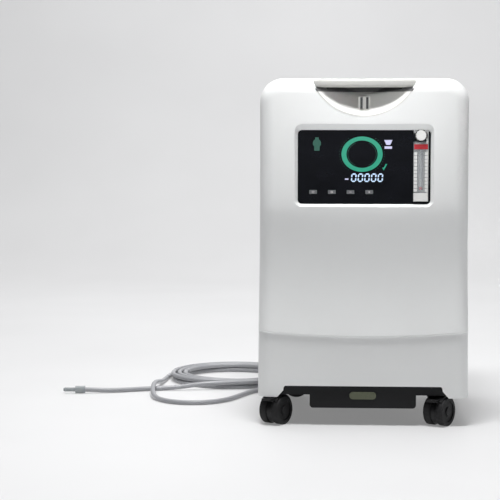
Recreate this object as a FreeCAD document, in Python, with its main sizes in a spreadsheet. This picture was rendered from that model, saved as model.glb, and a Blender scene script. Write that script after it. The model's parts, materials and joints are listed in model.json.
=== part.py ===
"""Floor-standing oxygen concentrator on four twin-wheel casters, with its oxygen tube.

Millimetres. +Z is up, the front faces -Y, +X is to the right of a person facing the front.
The origin is on the floor, under the middle of the body.
"""

import FreeCAD, Part, Sketcher
import math
import os

from FreeCAD import Placement, Rotation, Vector

SIZES = {
    # covers
    "body_width": 365, "head_width": 357, "body_depth": 375, "body_height": 600,
    "foot_level": 50, "wall": 3, "front_round": 24, "rear_round": 16, "top_round": 40,
    "head_level": 390, "lip_level": 158, "lip_step": 3.5, "seam_depth": 118, "seam_gap": 0.4,
    "arch_top": 70, "arch_top_width": 276, "arch_foot_width": 299,
    # carrying scoop
    "scoop_radius": 97.5, "scoop_rear_radius": 58, "scoop_depth": 62, "scoop_centre": 632,
    "scoop_wall": 2.5, "bar_length": 174, "bar_depth": 22, "bar_height": 14, "bar_setback": 4,
    "bar_top": 598.5,
    # display
    "glass_width": 226, "glass_height": 126, "glass_thick": 3, "glass_round": 7,
    "glass_centre": 449, "glass_setback": 6, "bevel_side": 4.5, "bevel_top": 9,
    "key_width": 13, "key_height": 6.4, "key_level": 406.4, "key_gap": 0.3, "key_travel": 1,
    # flow meter
    "meter_x": 96.5, "meter_width": 25, "meter_low": 391, "meter_high": 492, "meter_depth": 20,
    "meter_bore": 3.6, "ball_radius": 3, "knob_radius": 9.5, "knob_length": 5.5, "knob_level": 503,
    # base and casters
    "base_low": 31, "base_plate": 58, "well_width": 184, "base_wall": 3, "base_inset": 6.5,
    "axis_x": 142, "axis_y": 138, "wheel_radius": 25, "wheel_width": 14, "web_width": 9,
    "trail": 17, "stem_radius": 5.5, "running_gap": 0.05, "axle_radius": 3,
    # rear connections
    "panel_width": 220, "panel_height": 84, "panel_level": 320, "panel_depth": 25,
    "door_width": 158, "door_height": 130, "door_level": 462, "door_x": 1, "barrel_radius": 2.9,
    "grille_width": 200, "grille_height": 120, "grille_level": 160,
    # inside
    "frame_y": -58, "shelf_level": 300, "sieve_radius": 38, "sieve_height": 232,
    "fan_size": 112, "fan_depth": 26,
    # tube
    "tube_diameter": 9, "coil_x": -258, "coil_y": 332, "coil_outer": 142, "coil_inner": 88,
}

doc = FreeCAD.newDocument("oxygen_concentrator")
sheet = doc.addObject("Spreadsheet::Sheet", "Sizes")
for row, (alias, number) in enumerate(SIZES.items(), start=1):
    sheet.set(f"A{row}", alias)
    sheet.set(f"B{row}", str(number))
    sheet.setAlias(f"B{row}", alias)
doc.recompute()

nodes = []


def size(alias):
    """A driving dimension, read from the sheet."""
    return float(sheet.get(alias))


def bind(item, **expressions):
    """Tie properties to the sheet: $word in an expression is that cell."""
    for name, text in expressions.items():
        item.setExpression(name.replace("__", "."), str(text).replace("$", "<<Sizes>>."))
    return item


def at(item, x, y, z):
    """Tie an item's place to the sheet, each coordinate being an expression or a number."""
    return bind(item, Placement__Base__x=x, Placement__Base__y=y, Placement__Base__z=z)


def box(name, wide, deep, high, x, y, low):
    """A box centred on x and y, standing on the level low."""
    item = bind(doc.addObject("Part::Box", name), Length=wide, Width=deep, Height=high)
    return at(item, f"({x}) - ({wide}) / 2", f"({y}) - ({deep}) / 2", low)


TURNS = {"z": Rotation(), "x": Rotation(Vector(0, 1, 0), 90), "y": Rotation(Vector(1, 0, 0), -90)}


def rod(name, radius, length, x, y, z, along="z"):
    """A cylinder that starts at x, y, z and runs along one axis."""
    item = doc.addObject("Part::Cylinder", name)
    item.Placement = Placement(Vector(), TURNS[along])
    return at(bind(item, Radius=radius, Height=length), x, y, z)


def cone(name, start_radius, end_radius, length, x, y, z, along="z"):
    """A truncated cone that starts at x, y, z and runs along one axis."""
    item = doc.addObject("Part::Cone", name)
    item.Placement = Placement(Vector(), TURNS[along])
    return at(bind(item, Radius1=start_radius, Radius2=end_radius, Height=length), x, y, z)


def fuse(name, *items):
    """One solid from several that touch."""
    item = doc.addObject("Part::MultiFuse", name)
    item.Shapes = list(items)
    return item


def cut(name, base, *tools):
    """A base with tools taken away."""
    item = doc.addObject("Part::Cut", name)
    item.Base = base
    item.Tool = tools[0] if len(tools) == 1 else fuse(name + "_tools", *tools)
    return item


def common(name, first, second):
    """What two solids share."""
    item = doc.addObject("Part::MultiCommon", name)
    item.Shapes = [first, second]
    return item


def group(name, *items):
    """Several separate solids in one piece of the document."""
    item = doc.addObject("Part::Compound", name)
    item.Links = list(items)
    return item


def rounded(name, base, radius, chosen):
    """A base whose chosen edges, picked by a test on each edge, are rounded."""
    doc.recompute()
    item = doc.addObject("Part::Fillet", name)
    item.Base = base
    picked = [k for k, edge in enumerate(base.Shape.Edges, start=1) if chosen(edge)]
    item.Edges = [(k, radius, radius) for k in picked]
    return item


def runs_along(axis):
    """A test for straight edges along one axis."""
    def chosen(edge):
        if len(edge.Vertexes) != 2:
            return False
        run = edge.Vertexes[1].Point - edge.Vertexes[0].Point
        return run.Length > 0.1 and abs(run.dot(axis)) > 0.999 * run.Length
    return chosen


X_AXIS = Vector(1, 0, 0)
Y_AXIS = Vector(0, 1, 0)
Z_AXIS = Vector(0, 0, 1)


def shaped(name, shape):
    """A piece whose shape is made in code from the sheet's sizes."""
    item = doc.addObject("Part::Feature", name)
    item.Shape = shape
    item.Placement = Placement()
    return item


def node(item, label):
    """Name a finished sub-part: its label is its file's name."""
    item.Label = label
    nodes.append(item)
    return item


def origin_plane(body, role):
    """One of a body's own origin planes."""
    return next(f for f in body.Origin.OriginFeatures if f.Role == role)


def rectangle(body, name, role, width, height, centre):
    """A sketch of one rectangle, its width and height tied to the sheet."""
    sketch = body.newObject("Sketcher::SketchObject", name)
    sketch.AttachmentSupport = [(origin_plane(body, role), "")]
    sketch.MapMode = "FlatFace"
    add_rectangle(sketch, width, height, centre)
    return sketch


def add_rectangle(sketch, width, height, centre):
    """Four constrained lines round a centre, which is two expressions in the sketch's own axes."""
    first = sketch.GeometryCount
    ends = [(-1, -1), (1, -1), (1, 1), (-1, 1)]
    for (ax, ay), (bx, by) in zip(ends, ends[1:] + ends[:1]):
        sketch.addGeometry(Part.LineSegment(Vector(ax, ay, 0), Vector(bx, by, 0)), False)
    for k in range(4):
        following = first + (k + 1) % 4
        sketch.addConstraint(Sketcher.Constraint("Coincident", first + k, 2, following, 1))
        direction = "Vertical" if k % 2 else "Horizontal"
        sketch.addConstraint(Sketcher.Constraint(direction, first + k))
    tied = {
        "width": Sketcher.Constraint("DistanceX", first, 1, first, 2, 2.0),
        "height": Sketcher.Constraint("DistanceY", first + 1, 1, first + 1, 2, 2.0),
        "left": Sketcher.Constraint("DistanceX", -1, 1, first, 1, -1.0),
        "low": Sketcher.Constraint("DistanceY", -1, 1, first, 1, -1.0),
    }
    values = {
        "width": width, "height": height,
        "left": f"({centre[0]}) - ({width}) / 2", "low": f"({centre[1]}) - ({height}) / 2",
    }
    for word, constraint in tied.items():
        label = f"{word}_{first}"
        index = sketch.addConstraint(constraint)
        sketch.renameConstraint(index, label)
        bind(sketch, **{f"Constraints__{label}": values[word]})


def body_of(name):
    """An empty PartDesign body."""
    return doc.addObject("PartDesign::Body", name)


def pad(body, sketch, length, back_to_front=False):
    """A pad of a sketch."""
    item = body.newObject("PartDesign::Pad", sketch.Name + "_pad")
    item.Profile = sketch
    item.Reversed = back_to_front
    bind(item, Length=length)
    return item


def pocket_through(body, sketch):
    """A pocket of a sketch, both ways through the body."""
    item = body.newObject("PartDesign::Pocket", sketch.Name + "_pocket")
    item.Profile = sketch
    item.Midplane = True
    item.Type = 1
    return item


def soften(body, radius, chosen):
    """Round the chosen edges of a body's last feature."""
    doc.recompute()
    tip = body.Tip
    names = [f"Edge{k}" for k, edge in enumerate(tip.Shape.Edges, start=1) if chosen(edge)]
    item = body.newObject("PartDesign::Fillet", body.Name + "_round")
    item.Base = (tip, names)
    bind(item, Radius=radius)
    return item


# ---------------------------------------------------------------- covers

FRONT = -size("body_depth") / 2
REAR = -FRONT

# How far the front is set back at each level, from the head down to the lip.
WAIST = [(390, 0), (374, 1), (354, 4), (331, 8.5), (300, 12.5), (266, 14.6), (235, 14.3), (202, 11.6),
         (176, 8), (158, 5)]
FOOT_SETBACK = 14.5


def half_width(level):
    """Half the body's width at a level: upright at the head, wider towards the feet."""
    head = size("head_level")
    share = (head - level) / (head - size("foot_level"))
    return (size("head_width") + (size("body_width") - size("head_width")) * max(share, 0)) / 2


def outline(level, setback, inset):
    """The body's rounded plan at one level, moved inwards by inset."""
    half = half_width(level) - inset
    front = FRONT + setback + inset
    rear = REAR - inset
    front_round = size("front_round") - inset
    rear_round = size("rear_round") - inset
    corners = [
        (half - rear_round, rear - rear_round, rear_round, 0),
        (rear_round - half, rear - rear_round, rear_round, 90),
        (front_round - half, front + front_round, front_round, 180),
        (half - front_round, front + front_round, front_round, 270),
    ]
    arcs = []
    for x, y, radius, start in corners:
        circle = Part.Circle(Vector(x, y, level), Z_AXIS, radius)
        arcs.append(Part.ArcOfCircle(circle, math.radians(start), math.radians(start + 90)).toShape())
    edges = []
    for arc, following in zip(arcs, arcs[1:] + arcs[:1]):
        edges += [arc, Part.makeLine(arc.Vertexes[-1].Point, following.Vertexes[0].Point)]
    return Part.Wire(edges)


def envelope(inset, foot_level):
    """The body's outer form, or the space inside a wall when inset is above zero."""
    half = half_width(size("head_level")) - inset
    top = size("body_height") - inset
    depth = size("body_depth") - 2 * inset
    head_level = size("head_level")
    corner = Vector(-half, FRONT + inset, head_level)
    head = Part.makeBox(2 * half, depth, top - head_level, corner)
    on_top = [e for e in head.Edges if runs_along(Y_AXIS)(e) and e.CenterOfMass.z > top - 1]
    head = head.makeFillet(size("top_round") - inset, on_top)
    for face, radius in ((FRONT + inset, size("front_round")), (REAR - inset, size("rear_round"))):
        loop = [e for e in head.Edges
                if abs(e.BoundBox.YMin - face) < 0.01 and abs(e.BoundBox.YMax - face) < 0.01
                and e.CenterOfMass.z > head_level + 1]
        head = head.makeFillet(radius - inset, loop)
    lip = size("lip_level") + inset
    levels = [(max(level, lip), setback) for level, setback in WAIST]
    waist = Part.makeLoft([outline(level, setback, inset) for level, setback in levels], True, False)
    at_lip = WAIST[-1][1] + size("lip_step")
    foot = Part.makeLoft(
        [outline(lip, at_lip, inset), outline(foot_level, FOOT_SETBACK, inset)], True, True)
    return head.fuse([waist, foot])


def slab(low_y, high_y, low_z=-1, high_z=700, half=300):
    """A wide box between two depths."""
    return Part.makeBox(2 * half, high_y - low_y, high_z - low_z, Vector(-half, low_y, low_z))


def upright_outline(y, centre_z, width, height, radius, centre_x=0):
    """A rounded rectangle standing in the plane of one depth."""
    half_x = width / 2 - radius
    half_z = height / 2 - radius
    places = [(half_x, half_z, 0), (-half_x, half_z, 90), (-half_x, -half_z, 180), (half_x, -half_z, 270)]
    arcs = []
    for x, z, start in places:
        points = []
        for turn in (start, start + 45, start + 90):
            angle = math.radians(turn)
            points.append(Vector(centre_x + x + radius * math.cos(angle), y,
                                 centre_z + z + radius * math.sin(angle)))
        arcs.append(Part.Arc(*points).toShape())
    edges = []
    for arc, following in zip(arcs, arcs[1:] + arcs[:1]):
        edges += [arc, Part.makeLine(arc.Vertexes[-1].Point, following.Vertexes[0].Point)]
    return Part.Wire(edges)


def upright_block(low_y, high_y, centre_z, width, height, radius, centre_x=0):
    """A rounded rectangle made solid between two depths."""
    face = Part.Face(upright_outline(low_y, centre_z, width, height, radius, centre_x))
    return face.extrude(Vector(0, high_y - low_y, 0))


def arch(low_y, high_y):
    """The low opening between two feet, wider at its foot."""
    top = size("arch_top")
    half_top = size("arch_top_width") / 2
    half_foot = size("arch_foot_width") / 2
    foot = size("foot_level") - 1
    points = [Vector(-half_foot, low_y, foot), Vector(half_foot, low_y, foot),
              Vector(half_top, low_y, top), Vector(-half_top, low_y, top)]
    solid = Part.Face(Part.makePolygon(points + points[:1])).extrude(Vector(0, high_y - low_y, 0))
    upper = [e for e in solid.Edges if runs_along(Y_AXIS)(e) and e.CenterOfMass.z > top - 1]
    return solid.makeFillet(8, upper)


def scoop_cone(grown):
    """The cone of the carrying scoop, larger or smaller than its liner's outside by grown."""
    depth = size("scoop_depth")
    steepness = (size("scoop_radius") - size("scoop_rear_radius")) / depth
    start = FRONT - 2
    near = size("scoop_radius") + 2 * steepness + grown
    return Part.makeCone(near, near - (depth + 2 + grown) * steepness, depth + 2 + grown,
                         Vector(0, start, size("scoop_centre")), Y_AXIS)


ROOF = size("body_height") - size("wall")
BAR_REAR = FRONT + size("bar_setback") + size("bar_depth")
FIT = 0.2  # gap round pieces that drop into the covers


def front_cover():
    """The front shell, with the display seat, the scoop's mouth and the low arch."""
    wall = size("wall")
    shell = envelope(0, size("foot_level")).cut(envelope(wall, size("foot_level") - 1))
    shell = shell.common(slab(FRONT - 1, FRONT + size("seam_depth")))
    width = size("glass_width")
    height = size("glass_height")
    centre = size("glass_centre")
    setback = size("glass_setback")
    thick = size("glass_thick")
    seat_rear = FRONT + setback + thick + wall
    seat = upright_block(FRONT + 1, seat_rear, centre, width + 20, height + 20, 14)
    mouth_height = height + size("bevel_side") + size("bevel_top")
    mouth_centre = centre + (size("bevel_top") - size("bevel_side")) / 2
    mouth_width = width + 2 * size("bevel_side")
    round_corner = size("glass_round")
    bevel = Part.makeLoft([
        upright_outline(FRONT, mouth_centre, mouth_width, mouth_height, round_corner + 4),
        upright_outline(FRONT + setback, centre, width + 2 * FIT, height + 2 * FIT, round_corner),
    ], True, True)
    glass_bed = upright_block(FRONT + setback - 0.01, FRONT + setback + thick + FIT, centre,
                              width + 2 * FIT, height + 2 * FIT, round_corner)
    window = upright_block(FRONT, seat_rear + 1, centre, width - 14, height - 10, 4)
    cover = shell.fuse(seat).cut([bevel, glass_bed, window])
    mouth = scoop_cone(FIT).common(slab(FRONT - 3, 0, 0, ROOF + 0.01))
    bar_slot = scoop_cone(FIT).common(slab(FRONT - 3, BAR_REAR + FIT))
    meter_high = size("knob_level") + size("knob_radius") + 2
    meter_low = size("meter_low") - 1.5
    meter_hole = upright_block(FRONT + setback, seat_rear + 1, (meter_high + meter_low) / 2,
                               size("meter_width") + 2, meter_high - meter_low, 3, size("meter_x"))
    return cover.cut([mouth, bar_slot, meter_hole, arch(FRONT - 2, FRONT + 60)])


node(shaped("FrontCover", front_cover()), "front_cover")


SCREWS = [(side * 150, z) for z in (90, 250, 400, 540) for side in (-1, 1)]


HINGE_ROOM = 1.8  # the door's opening is wider by this on the hinge side, so the door swings clear


def rear_cover():
    """The rear shell, with openings for the door, the connection panel and the exhaust grille."""
    shell = envelope(0, size("foot_level")).cut(envelope(size("wall"), size("foot_level") - 1))
    shell = shell.common(slab(FRONT + size("seam_depth") + size("seam_gap"), REAR + 1))
    openings = [
        upright_block(REAR - 12, REAR + 1, size("panel_level"), size("panel_width"),
                      size("panel_height"), 6),
        upright_block(REAR - 12, REAR + 1, size("door_level"), size("door_width") + HINGE_ROOM,
                      size("door_height"), 3, size("door_x") - HINGE_ROOM / 2),
        upright_block(REAR - 12, REAR + 1, size("grille_level"), size("grille_width"),
                      size("grille_height"), 8),
        arch(REAR - 60, REAR + 2),
    ]
    for x, z in SCREWS:
        openings.append(Part.makeCylinder(2.2, 8, Vector(x, REAR - 7, z), Y_AXIS))
        openings.append(Part.makeCylinder(4.1, 4, Vector(x, REAR - 2.2, z), Y_AXIS))
    return shell.cut(openings)


node(shaped("RearCover", rear_cover()), "rear_cover")


def scoop_liner():
    """The thin tub inside the carrying scoop: sloping bowl, back wall and roof."""
    wall = size("scoop_wall")
    outside = scoop_cone(0).common(slab(FRONT, 0, 0, ROOF - FIT))
    inside = scoop_cone(-wall).common(slab(FRONT - 3, 0, 0, ROOF - FIT - wall))
    open_top = slab(FRONT - 3, BAR_REAR + FIT, size("bar_top") - size("bar_height") - 2)
    return outside.cut([inside, open_top])


node(shaped("ScoopLiner", scoop_liner()), "handle_scoop")

bar = box("BarBlock", "$bar_length", "$bar_depth", "$bar_height", 0,
          "-$body_depth / 2 + $bar_setback + $bar_depth / 2", "$bar_top - $bar_height")
bar_rounded = rounded("BarRounded", bar, 5, runs_along(X_AXIS))
node(common("BarTrimmed", bar_rounded, shaped("BarCone", scoop_cone(0))), "handle_bar")

clip_y = "-$body_depth / 2 + 21"
clip_base = box("ClipBase", 20, 3, 22, 0, clip_y, 547)
clip_ribs = [box(f"ClipRib{k}", 4, 9, 20, side * 5, "-$body_depth / 2 + 16", 548)
             for k, side in enumerate((-1, 1))]
clip_foot = box("ClipFoot", 14, 5, 4, 0, "-$body_depth / 2 + 23", 553)
clip_block = fuse("ClipFused", clip_base, clip_foot, *clip_ribs)
clip_space = shaped("ClipSpace", scoop_cone(-size("scoop_wall") - 0.05))
node(common("ClipTrimmed", clip_block, clip_space), "scoop_clip")

# ---------------------------------------------------------------- display

KEYS = {"key_power": -86.8, "key_mode": -54.8, "key_less": -23, "key_more": 9}
GLASS_Y = "-$body_depth / 2 + $glass_setback"


def place_in_front(body, y):
    """Stand a body that was sketched flat: sketch x is X, sketch y is Z, pads go towards +Y."""
    body.Placement = Placement(Vector(), Rotation(Vector(1, 0, 0), 90))
    return at(body, 0, y, 0)


glass = body_of("GlassBody")
pad(glass, rectangle(glass, "glass_face", "XY_Plane", "$glass_width", "$glass_height",
                     (0, "$glass_centre")), "$glass_thick", True)
soften(glass, "$glass_round", runs_along(Z_AXIS))
meter_window = rectangle(glass, "meter_window", "XY_Plane", "$meter_width + 1",
                         "$knob_level + $knob_radius - $meter_low + 1.5",
                         ("$meter_x", "($knob_level + $knob_radius + $meter_low) / 2"))
pocket_through(glass, meter_window)
key_window = rectangle(glass, "key_window", "XY_Plane", "$key_width + 2 * $key_gap",
                       "$key_height + 2 * $key_gap", (list(KEYS.values())[0], "$key_level"))
for key_x in list(KEYS.values())[1:]:
    add_rectangle(key_window, "$key_width + 2 * $key_gap", "$key_height + 2 * $key_gap",
                  (key_x, "$key_level"))
glass.Tip = pocket_through(glass, key_window)
place_in_front(glass, GLASS_Y)
node(glass, "display_glass")

for label, key_x in KEYS.items():
    key = body_of(label + "_body")
    pad(key, rectangle(key, label + "_face", "XY_Plane", "$key_width", "$key_height",
                       (key_x, "$key_level")), "$glass_thick - $key_travel + 1.2", True)
    soften(key, 1.2, runs_along(Z_AXIS))
    place_in_front(key, GLASS_Y + " - 0.6")
    node(key, label)

screen_y = GLASS_Y + " + $glass_thick + 7.3"
screen = box("ScreenBlock", 172, 6, 94, -18, screen_y, "$glass_centre - 38")
node(screen, "display_module")

board_y = GLASS_Y + " + $glass_thick + 14"
board = box("ControlPcb", 186, 1.6, 112, -18, board_y, "$glass_centre - 56")
parts_on_board = [
    box("ControlChip", 24, 3, 24, -30, board_y + " + 2", "$glass_centre - 10"),
    box("ControlRelay", 16, 14, 20, 40, board_y + " + 7.5", "$glass_centre - 34"),
    box("ControlPlug", 34, 8, 10, -70, board_y + " + 4.5", "$glass_centre + 30"),
]
node(fuse("ControlFused", board, *parts_on_board), "control_board")

# ---------------------------------------------------------------- flow meter

METER_FACE = "-$body_depth / 2 + $glass_setback - 2"
meter_y = METER_FACE + " + $meter_depth / 2"
meter = box("MeterBlock", "$meter_width", "$meter_depth", "$meter_high - $meter_low - 14.3",
            "$meter_x", meter_y, "$meter_low + 14.3")
meter_round = rounded("MeterRounded", meter, 2, runs_along(Z_AXIS))
bore = rod("MeterBore", "$meter_bore", "$meter_high - $meter_low - 14.3 - 8", "$meter_x",
           METER_FACE + " + 7", "$meter_low + 18.3")
node(cut("MeterCut", meter_round, bore), "flowmeter_tube")

cap = box("MeterCap", "$meter_width", "$meter_depth", 14, "$meter_x", meter_y, "$meter_low")
node(rounded("MeterCapRounded", cap, 2, runs_along(Z_AXIS)), "flowmeter_cap")

ball = doc.addObject("Part::Sphere", "Ball")
bind(ball, Radius="$ball_radius")
at(ball, "$meter_x", METER_FACE + " + 7", "$meter_low + 18.5 + $ball_radius")
node(ball, "flow_ball")

valve_seat = rod("ValveSeat", "$knob_radius + 1.2", 4, "$meter_x", GLASS_Y + " + 0.2",
                 "$knob_level - 0.3", "y")
valve_block = box("ValveBlock", 20, 16, 17, "$meter_x", GLASS_Y + " + 12", "$knob_level - 9")
valve_bore = rod("ValveBore", "3 + $running_gap", 14, "$meter_x", GLASS_Y + " - 1", "$knob_level", "y")
seat_trim = box("SeatTrim", 40, 8, 20, "$meter_x", GLASS_Y, "$meter_high - 20")
node(cut("ValveCut", fuse("ValveFused", valve_seat, valve_block), valve_bore, seat_trim),
     "needle_valve")

knob_disc = cone("KnobDisc", "$knob_radius - 1", "$knob_radius", "$knob_length", "$meter_x",
                 METER_FACE + " - 3.8", "$knob_level", "y")
knob_stem = rod("KnobStem", 3, 11, "$meter_x", METER_FACE + " + 1", "$knob_level", "y")
grips = []
for k in range(12):
    angle = math.radians(30 * k)
    grips.append(rod(f"KnobFlute{k}", 0.9, 12, f"$meter_x + $knob_radius * {math.cos(angle):.5f}",
                     METER_FACE + " - 5", f"$knob_level + $knob_radius * {math.sin(angle):.5f}", "y"))
node(cut("KnobCut", fuse("KnobFused", knob_disc, knob_stem), *grips), "flow_knob")

# ---------------------------------------------------------------- base

plate = box("BasePlate", "$body_width - 2 * $base_inset", "$body_depth - 2 * $base_inset - 20", 4,
            0, 3, "$base_plate")
plate_round = rounded("BasePlateRounded", plate, 20, runs_along(Z_AXIS))
rim = box("RimBlock", "$body_width - 2 * $base_inset", "$body_depth - 2 * $base_inset - 20",
          20, 0, 3, "$base_plate - 4")
rim_round = rounded("RimRounded", rim, 20, runs_along(Z_AXIS))
rim_hollow = box("RimHollow", "$body_width - 2 * $base_inset - 2 * $base_wall",
                 "$body_depth - 2 * $base_inset - 20 - 2 * $base_wall", 30, 0, 3, "$base_plate - 6")
rim_hollow_round = rounded("RimHollowRounded", rim_hollow, 17, runs_along(Z_AXIS))
skirt = cut("Skirt", rim_round, rim_hollow_round)
well = box("WellBlock", "$well_width", "$body_depth - 2 * $base_inset - 20",
           "$base_plate + 2 - $base_low", 0, 3, "$base_low")
well_round = rounded("WellRounded", well, 6, runs_along(Y_AXIS))
well_hollow = box("WellHollow", "$well_width - 2 * $base_wall",
                  "$body_depth - 2 * $base_inset - 20 - 2 * $base_wall", 60, 0, 3,
                  "$base_low + $base_wall")
bosses = []
boss_holes = []
CORNERS = {"front_left": (-1, -1, -122), "front_right": (1, -1, -122), "rear_left": (-1, 1, 8),
           "rear_right": (1, 1, -70)}
for corner, (side, end, _) in CORNERS.items():
    x = f"{side} * $axis_x"
    y = f"{end} * $axis_y"
    bosses.append(rod("Boss_" + corner, "$stem_radius + 5", 16, x, y, "$base_plate + 2"))
    boss_holes.append(rod("BossHole_" + corner, "$stem_radius + $running_gap", 40, x, y,
                          "$base_plate - 10"))
base = cut("BaseCut", fuse("BaseFused", plate_round, skirt, well_round, *bosses), well_hollow,
           *boss_holes)
node(base, "base_pan")

badge = body_of("BadgeBody")
pad(badge, rectangle(badge, "badge_face", "XY_Plane", 46, 13, (0, 53)), 1.4, True)
soften(badge, 6, runs_along(Z_AXIS))
place_in_front(badge, "-$body_depth / 2 + $base_inset + 13 - 1.4")
node(badge, "base_badge")

# ---------------------------------------------------------------- casters

AXLE = "$wheel_radius"
PEDAL_X = "$trail + 23.6"
PEDAL_Z = 45.4


def caster(corner, side, end, heading, braked):
    """One twin-wheel caster, made with its trail along +X and then turned to its heading."""
    web = rod("Web_" + corner, "$wheel_radius - 2", "$web_width", "$trail", "-$web_width / 2", AXLE, "y")
    neck = rod("Neck_" + corner, "$stem_radius + 4", "$base_plate - 1 - 50.6", 0, 0, 50.6)
    roof_out = rod("HoodOut_" + corner, "$wheel_radius + 2.8", "$web_width + 2 * $wheel_width - 6",
                   "$trail", "-($web_width + 2 * $wheel_width - 6) / 2", AXLE, "y")
    roof_in = rod("HoodIn_" + corner, "$wheel_radius + 1", 60, "$trail", -30, AXLE, "y")
    lower = box("HoodLower_" + corner, 90, 60, 60, "$trail + 12", 0, -22)
    rear_trim = box("HoodRear_" + corner, 60, 60, 80, "$trail + 50", 0, 0)
    hood = cut("HoodShell_" + corner, roof_out, roof_in, lower, rear_trim)
    bridge = box("Bridge_" + corner, "$trail + 8", "$web_width", 28.4, 5, 0, 24)
    stem = rod("Stem_" + corner, "$stem_radius", 24, 0, 0, "$base_plate - 5")
    axle_hole = rod("AxleHole_" + corner, "$axle_radius + $running_gap", 60, "$trail", -30, AXLE, "y")
    frame = cut("Fork_" + corner, fuse("ForkFused_" + corner, web, neck, hood, bridge, stem), axle_hole)
    wheels = []
    for way in (-1, 1):
        near = f"{way} * ($web_width / 2 + 0.5)" if way > 0 else "-$web_width / 2 - 0.5 - $wheel_width"
        disc = rod(f"Wheel_{corner}_{way + 1}", "$wheel_radius", "$wheel_width", "$trail", near, AXLE, "y")
        wheels.append(disc)
    discs = fuse("Discs_" + corner, *wheels,
                 rod("Axle_" + corner, "$axle_radius", "$web_width + 2 * $wheel_width - 8", "$trail",
                     "-($web_width + 2 * $wheel_width - 8) / 2", AXLE, "y"))
    softened = rounded("DiscsRound_" + corner, discs, 2,
                       lambda e: abs(e.Length - 2 * math.pi * size("wheel_radius")) < 0.5)
    dishes = []
    for way in (-1, 1):
        outer = f"{way} * ($web_width / 2 + 0.5 + $wheel_width - 2)"
        ring = cut(f"Dish_{corner}_{way + 1}",
                   rod(f"DishOut_{corner}_{way + 1}", 18, 3, "$trail",
                       outer if way > 0 else outer + " - 3", AXLE, "y"),
                   rod(f"DishIn_{corner}_{way + 1}", 8, 5, "$trail",
                       (outer if way > 0 else outer + " - 3") + " - 1", AXLE, "y"))
        dishes.append(ring)
    wheelset = cut("Wheelset_" + corner, softened, *dishes)
    parts = {"caster_fork_": frame, "caster_wheels_": wheelset}
    if braked:
        ears = [fuse(f"Ear_{corner}_{low}",
                     rod(f"EarEye_{corner}_{low}", 3.2, 2.2, PEDAL_X, low, PEDAL_Z, "y"),
                     box(f"EarArm_{corner}_{low}", 9, 2.2, 7, "$trail + 18.5", low + 1.1, PEDAL_Z - 4))
                for low in (-10.6, 8.4)]
        pin = rod("PedalPin_" + corner, 1.2, 21.2, PEDAL_X, -10.6, PEDAL_Z, "y")
        ear_trim = rod("EarTrim_" + corner, "$wheel_radius + 1", 60, "$trail", -30, AXLE, "y")
        bracket = cut("Bracket_" + corner, fuse("BracketFused_" + corner, pin, *ears), ear_trim)
        parts["caster_fork_"] = fuse("ForkWithEars_" + corner, frame, bracket)
        knuckle = rod("Knuckle_" + corner, 3, 16, PEDAL_X, -8, PEDAL_Z, "y")
        tab = box("PedalTab_" + corner, 7.4, 16, 3.3, PEDAL_X + " + 3.7", 0, PEDAL_Z - 1.5)
        lip = box("PedalLip_" + corner, 3.6, 18, 3.3, PEDAL_X + " + 5.6", 0, PEDAL_Z - 1.5)
        eye = rod("PedalEye_" + corner, 1.25, 30, PEDAL_X, -15, PEDAL_Z, "y")
        pedal = fuse("PedalFused_" + corner, knuckle, tab, lip)
        parts["brake_pedal_"] = cut("Pedal_" + corner, pedal, eye)
    doc.recompute()
    for prefix, item in parts.items():
        turned = doc.addObject("Part::Compound", prefix + corner + "_placed")
        turned.Links = [item]
        turned.Placement = Placement(Vector(), Rotation(Z_AXIS, heading))
        at(turned, f"{side} * $axis_x", f"{end} * $axis_y", 0)
        node(turned, prefix + corner)


for corner, (side, end, heading) in CORNERS.items():
    caster(corner, side, end, heading, end < 0)

# ---------------------------------------------------------------- rear panel, door and grille

REAR_Y = "$body_depth / 2"
panel_block = box("PanelBlock", "$panel_width - 0.6", "$panel_depth", "$panel_height - 0.6", 0,
                  "$body_depth / 2 - 1 - $panel_depth / 2", "$panel_level - $panel_height / 2 + 0.3")
panel_round = rounded("PanelRounded", panel_block, 5.5, runs_along(Y_AXIS))
panel_hollow = box("PanelHollow", "$panel_width - 6.6", "$panel_depth", "$panel_height - 6.6", 0,
                   "$body_depth / 2 + 2 - $panel_depth / 2", "$panel_level - $panel_height / 2 + 3.3")
panel_hollow_round = rounded("PanelHollowRounded", panel_hollow, 4, runs_along(Y_AXIS))
INLET_X = 62
SWITCH_X = 8
BREAKER_X = -32
OUTLET_X = -78
FLOOR_TOP = "($body_depth / 2 + 2 - $panel_depth)"
panel_holes = [
    box("InletHole", 29, 20, 22, INLET_X, FLOOR_TOP, "$panel_level - 11"),
    box("SwitchHole", 22.2, 20, 30.2, SWITCH_X, FLOOR_TOP, "$panel_level - 15.1"),
    rod("BreakerHole", 6.1, 20, BREAKER_X, FLOOR_TOP + " - 10", "$panel_level", "y"),
    rod("OutletHole", 6, 20, OUTLET_X, FLOOR_TOP + " - 10", "$panel_level", "y"),
]
node(cut("PanelCut", panel_round, panel_hollow_round, *panel_holes), "rear_panel")

inlet_flange = box("InletFlange", 50, 3, 28, INLET_X, FLOOR_TOP + " + 1.6", "$panel_level - 14")
inlet_body = box("InletBody", 28.6, 24, 21.6, INLET_X, FLOOR_TOP + " - 9", "$panel_level - 10.8")
inlet_cavity = box("InletCavity", 24.5, 18, 16.5, INLET_X, FLOOR_TOP + " - 4", "$panel_level - 8.25")
pins = []
for k, (pin_x, pin_z) in enumerate(((-7, -2), (7, -2), (0, 2))):
    pins.append(box(f"InletPin{k}", 2, 14, 4, INLET_X + pin_x, FLOOR_TOP + " - 8",
                    f"$panel_level + {pin_z - 2}"))
inlet_shell = cut("InletCut", fuse("InletFused", inlet_flange, inlet_body), inlet_cavity)
node(fuse("InletWithPins", inlet_shell, *pins), "mains_inlet")

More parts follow.
